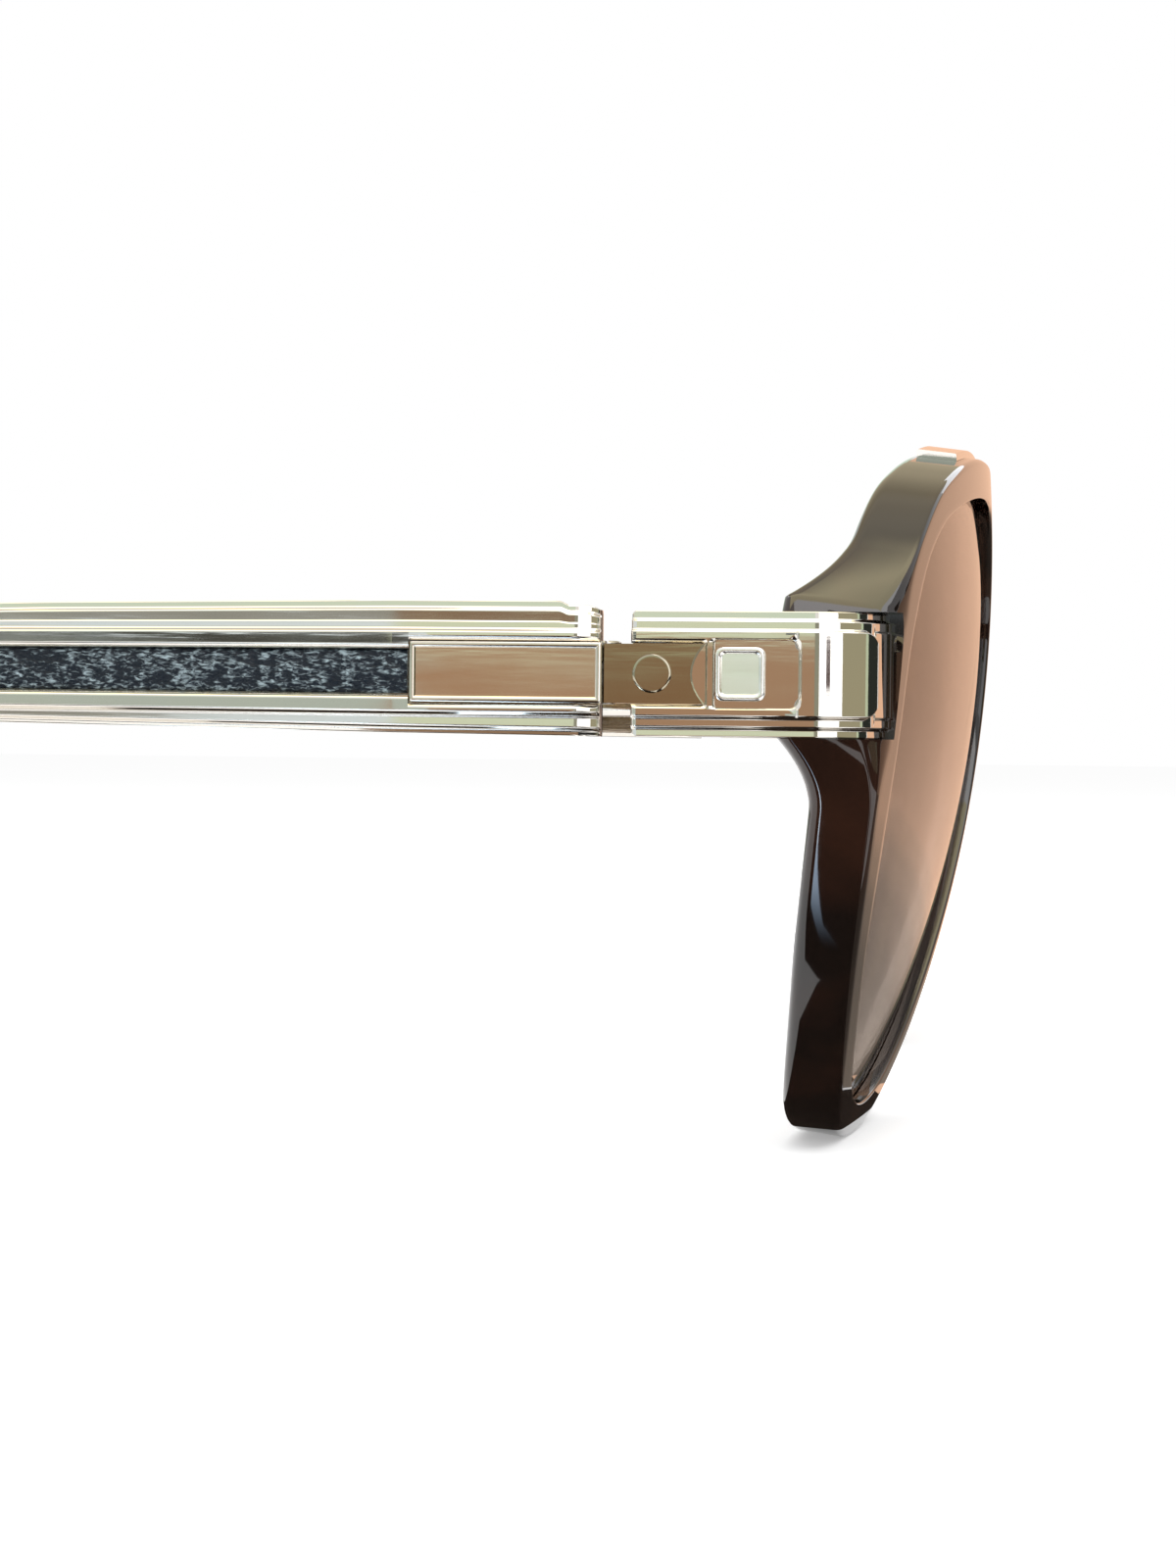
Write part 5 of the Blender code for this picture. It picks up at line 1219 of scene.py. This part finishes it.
class SUNGLASSES_OT_lenses(bpy.types.Operator):
    """Crowned lenses with a V edge in the rim's groove"""

    bl_idname = "sunglasses.lenses"
    bl_label = "Lenses"

    def execute(self, context):
        finish = materials(context.scene.sunglasses_look)
        for name, side in SIDES.items():
            lens = lens_body(f"tinted_lens_{name}", side)
            finished(lens, finish["Brown Lens"], "brown_lens", "front", f"lens_{name}")
        return {"FINISHED"}


class SUNGLASSES_OT_end_pieces(bpy.types.Operator):
    """Stepped end pieces with their tiles, leaves and rivets"""

    bl_idname = "sunglasses.end_pieces"
    bl_label = "End Pieces"

    def execute(self, context):
        finish = materials(context.scene.sunglasses_look)
        for name, side in SIDES.items():
            piece = end_piece_body(f"stepped_end_{name}", side)
            finished(piece, finish["Polished Metal"], "polished_metal", "front", f"end_piece_{name}")
            rear = WEB_FRONT - RUN
            low = (OUTER_FACE - TILE_FLOOR + RUN, rear - TILE_LENGTH, -TILE_HEIGHT / 2)
            high = (low[0] + TILE_THICK, rear, TILE_HEIGHT / 2)
            tile = panel_body(
                f"framed_tile_{name}", low, high, TILE_BORDER, TILE_SINK, side, TILE_CORNER, TILE_LEAN)
            finished(tile, finish["Silver"], "silver", "front", f"square_tile_{name}")
            face = OUTER_FACE - CHANNEL_FLOOR + RUN + LEAF_THICK + RUN
            profile = [(level, CAP_RADIUS - fall) for level, fall in CAP_PROFILE]
            rivet = turned(f"round_rivet_{name}", profile, (face, CAP_Y, 0.0), "u", side, 64)
            finished(rivet, finish["Bronze Metal"], "bronze_metal", "front", f"leaf_rivet_{name}")
            top = EAR_OUTER + RUN
            profile = [(-2 * top, PIVOT_HEAD[0][1])] + PIVOT_HEAD
            place = (PIVOT_U, PIVOT_Y, top)
            screw = slotted_head(f"slotted_screw_{name}", profile, place, "v", PIVOT_SLOT, side)
            finished(screw, finish["Steel"], "steel", "front", f"pivot_screw_{name}")
            for part, kind in (("hinge_leaf", "Bronze Metal"), ("lower_pin", "Steel"), ("upper_pin", "Steel")):
                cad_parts[f"{part}_{name}"].data.materials[0] = finish[kind]
        return {"FINISHED"}


class SUNGLASSES_OT_temples(bpy.types.Operator):
    """Metal temples with their plates, leather, tips and spring hinges"""

    bl_idname = "sunglasses.temples"
    bl_label = "Temples"

    def execute(self, context):
        finish = materials(context.scene.sunglasses_look)
        for name, side in SIDES.items():
            body = f"temple_{name}"
            core = core_body(f"stepped_rails_{name}", side)
            finished(core, finish["Polished Metal"], "polished_metal", body, f"temple_core_{name}")
            low = (INNER_FACE + SLOT_FLOOR + RUN, TEMPLE_FRONT - PLATE_LEAD, RUN - PLATE_SLOT_HALF)
            high = (low[0] + PLATE_THICK, PLATE_REAR - RUN, PLATE_SLOT_HALF - RUN)
            plate = panel_body(f"bare_plate_{name}", low, high, PLATE_BORDER, PLATE_SINK, side, PLATE_CORNER)
            finished(plate, finish["Plate Metal"], "bronze_metal", body, f"temple_plate_{name}")
            inlay = inlay_body(f"leather_strip_{name}", side)
            finished(inlay, finish["Navy Leather"], "navy_leather", body, f"leather_inlay_{name}")
            tip = tip_body(f"acetate_tip_{name}", side)
            finished(tip, finish["Dark Acetate"], "dark_acetate", body, f"temple_tip_{name}")
            housing = housing_body(f"rounded_housing_{name}", side)
            finished(housing, finish["Polished Metal"], "polished_metal", body, f"spring_housing_{name}")
            place = (INNER_FACE - HOUSING_DEEP - 2 * RUN, HOUSING_SCREW_Y, 0.0)
            screw = slotted_head(f"small_screw_{name}", HOUSING_HEAD, place, "u", HOUSING_SLOT, side)
            finished(screw, finish["Steel"], "steel", body, f"housing_screw_{name}")
            coil = coil_body(f"wound_spring_{name}", side)
            finished(coil, finish["Steel"], "steel", None, f"hinge_spring_{name}")
            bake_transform(coil)
            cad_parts[f"hinge_slider_{name}"].data.materials[0] = finish["Steel"]
        return {"FINISHED"}


def seen_share(tree):
    """1 for the rays of the camera, gloss and glass, and 0 for the others."""
    path = node(tree, "ShaderNodeLightPath").outputs
    total = path["Is Camera Ray"]
    for kind in ("Is Glossy Ray", "Is Transmission Ray"):
        total = maths(tree, "MAXIMUM", total, path[kind])
    return total


def studio_world(stage):
    """Even world light, with a white surround for what the camera, gloss and glass see."""
    world = bpy.data.worlds.new("Plain Studio")
    bpy.context.scene.world = world
    world.use_nodes = True
    tree = world.node_tree
    light = tree.nodes["Background"]
    light.inputs["Color"].default_value = WHITE
    light.inputs["Strength"].default_value = stage.world_strength
    seen = node(tree, "ShaderNodeBackground", {"Color": WHITE, "Strength": 1.0})
    mix = node(tree, "ShaderNodeMixShader", {0: seen_share(tree), 1: light.outputs[0], 2: seen.outputs[0]})
    tree.links.new(mix.outputs[0], tree.nodes["World Output"].inputs["Surface"])


def studio_floor():
    """Pale floor whose lit shade is lifted to the white of the surround, and which keeps the shadow."""
    mesh = bpy.data.meshes.new("studio_floor")
    corners = [(-1, -1), (1, -1), (1, 1), (-1, 1)]
    mesh.from_pydata([(x * FLOOR_REACH, y * FLOOR_REACH, 0) for x, y in corners], [], [(0, 1, 2, 3)])
    material, tree, shader = shaded(
        "Studio Floor", Roughness=1.0, Specular_IOR_Level=0.0, Base_Color=FLOOR_TONE, Emission_Color=WHITE)
    tree.links.new(maths(tree, "MULTIPLY", seen_share(tree), FLOOR_LIFT), shader.inputs["Emission Strength"])
    mesh.materials.append(material)
    floor = linked("studio_floor", mesh)
    floor.location.z = FLOOR_LEVEL


def lamp(name, place, power):
    """Rectangular soft lamp that faces the sunglasses."""
    light = bpy.data.lights.new(name, "AREA")
    light.shape = "RECTANGLE"
    light.size, light.size_y = LAMP_SIZE
    light.energy = power
    thing = linked(name, light)
    thing.location = place
    thing.rotation_mode = "QUATERNION"
    thing.rotation_quaternion = (Vector(LAMP_TARGET) - Vector(place)).to_track_quat("-Z", "Y")


def card_material(name, points, colours):
    """Glow that paints a reflection: one colour, or several that are spread evenly over the card from right to
    left.
    """
    colours = np.atleast_2d(colours)
    power = colours.max()
    material, tree, shader = shaded(
        name, Roughness=1.0, Specular_IOR_Level=0.0, Base_Color=(0.0, 0.0, 0.0, 1.0),
        Emission_Color=(*colours[0] / power, 1.0), Emission_Strength=power)
    if len(colours) > 1:
        across = node(tree, "ShaderNodeSeparateXYZ", {"Vector": object_place(tree)}).outputs["X"]
        reach = [point[0] for point in points]
        shades = node(tree, "ShaderNodeValToRGB", {"Fac": ranged(tree, across, min(reach), max(reach))})
        ramp = shades.color_ramp
        ramp.interpolation = "EASE"
        for place in np.linspace(0, 1, len(colours))[1:-1]:
            ramp.elements.new(place)
        for element, colour in zip(ramp.elements, colours):
            element.color = (*colour / power, 1.0)
        tree.links.new(shades.outputs["Color"], shader.inputs["Emission Color"])
    return material


def reflected_card(name, points, quads, colours):
    """Glowing card that only reflections see: it paints a reflection, a highlight or a dark patch."""
    mesh = bpy.data.meshes.new(name)
    mesh.from_pydata(points, [], quads)
    mesh.materials.append(bpy.data.materials.get(name) or card_material(name, points, colours))
    thing = linked(name, mesh)
    thing.visible_camera = thing.visible_diffuse = thing.visible_shadow = thing.visible_transmission = False


def drum_card(name, turns, levels, colour, sides=SIDES, hole=False):
    """Glowing card that paints a reflection, on an upright drum round each hinge, by pairs of height and
    reach.

    A point is the drum's centre plus its reach along a turn from the side towards the front, at a level.
    With a hole, the middle cell of three by three stays open.
    """
    turns = np.radians(turns)
    if not hole:
        turns = np.linspace(turns[0], turns[-1], 9)
    columns, rows = len(turns), len(levels)
    t, z = (part.ravel() for part in np.meshgrid(turns, [level for level, _ in levels]))
    reach = np.repeat([far for _, far in levels], columns)
    quads = [(i + j * columns, i + 1 + j * columns, i + 1 + (j + 1) * columns, i + (j + 1) * columns)
             for j in range(rows - 1) for i in range(columns - 1) if not (hole and (i, j) == (1, 1))]
    for side in sides.values():
        points = np.stack([side * (DRUM_U + reach * np.cos(t)), DRUM_Y - reach * np.sin(t), z], -1)
        reflected_card(name, points, quads, colour)


def flat_card(name, out, along, height, colour, sides):
    """Level glowing card that paints a reflection, between two distances outward and two along."""
    for side in sides.values():
        points = [(side * u, y, height) for u, y in zip((out[0], out[1], out[1], out[0]), np.repeat(along, 2))]
        reflected_card(name, points, [(0, 1, 2, 3)], colour)


class SUNGLASSES_OT_stage(bpy.types.Operator):
    """Pale floor, soft lamps and the camera at the photograph's angle"""

    bl_idname = "sunglasses.stage"
    bl_label = "Studio"

    def execute(self, context):
        stage = context.scene.sunglasses_stage
        studio_world(stage)
        studio_floor()
        for name, (place, share) in LAMPS.items():
            lamp(name, place, stage.key_power * share)
        # Glowing cards that paint reflections, highlights and dark patches
        for settings in CARDS:
            drum_card(*settings)
        for settings in FLAT_CARDS:
            flat_card(*settings)
        camera = bpy.data.cameras.new("photo_camera")
        camera.lens = stage.lens
        camera.sensor_width = 36.0
        camera.clip_start = 0.01
        camera.clip_end = 20.0
        view = linked("photo_camera", camera)
        x, y, v = CAMERA_PLACE
        view.location = (x * MM, (y - MIDDLE_Y) * MM, (REST_DROP + v) * MM)
        aim = Euler((np.pi / 2 - stage.pitch, 0.0, -np.pi / 2 + stage.yaw)).to_matrix()
        view.rotation_euler = (aim @ Matrix.Rotation(stage.roll, 3, "Z")).to_euler()
        context.scene.camera = view
        context.scene.view_settings.view_transform = "Standard"
        return {"FINISHED"}


class SUNGLASSES_PT_panel(bpy.types.Panel):
    """Buttons and settings of the sunglasses"""

    bl_idname = "SUNGLASSES_PT_panel"
    bl_label = "Sunglasses"
    bl_space_type = "VIEW_3D"
    bl_region_type = "UI"
    bl_category = "Sunglasses"

    def draw(self, context):
        for settings in (context.scene.sunglasses_look, context.scene.sunglasses_stage):
            for key in settings.bl_rna.properties.keys():
                if key not in ("rna_type", "name"):
                    self.layout.prop(settings, key)
        for operator in OPERATORS:
            self.layout.operator(operator.bl_idname)


OPERATORS = (SUNGLASSES_OT_front, SUNGLASSES_OT_lenses, SUNGLASSES_OT_end_pieces, SUNGLASSES_OT_temples,
             SUNGLASSES_OT_stage)
CLASSES = (SunglassesLook, SunglassesStage, *OPERATORS, SUNGLASSES_PT_panel)


def register():
    for cls in CLASSES:
        bpy.utils.register_class(cls)
    bpy.types.Scene.sunglasses_look = bpy.props.PointerProperty(type=SunglassesLook)
    bpy.types.Scene.sunglasses_stage = bpy.props.PointerProperty(type=SunglassesStage)


def unregister():
    del bpy.types.Scene.sunglasses_stage
    del bpy.types.Scene.sunglasses_look
    for cls in reversed(CLASSES):
        bpy.utils.unregister_class(cls)


def main():
    """Makes every piece in order."""
    register()
    bpy.ops.sunglasses.front()
    bpy.ops.sunglasses.lenses()
    bpy.ops.sunglasses.end_pieces()
    bpy.ops.sunglasses.temples()
    bpy.ops.sunglasses.stage()


if __name__ == "__main__":
    main()
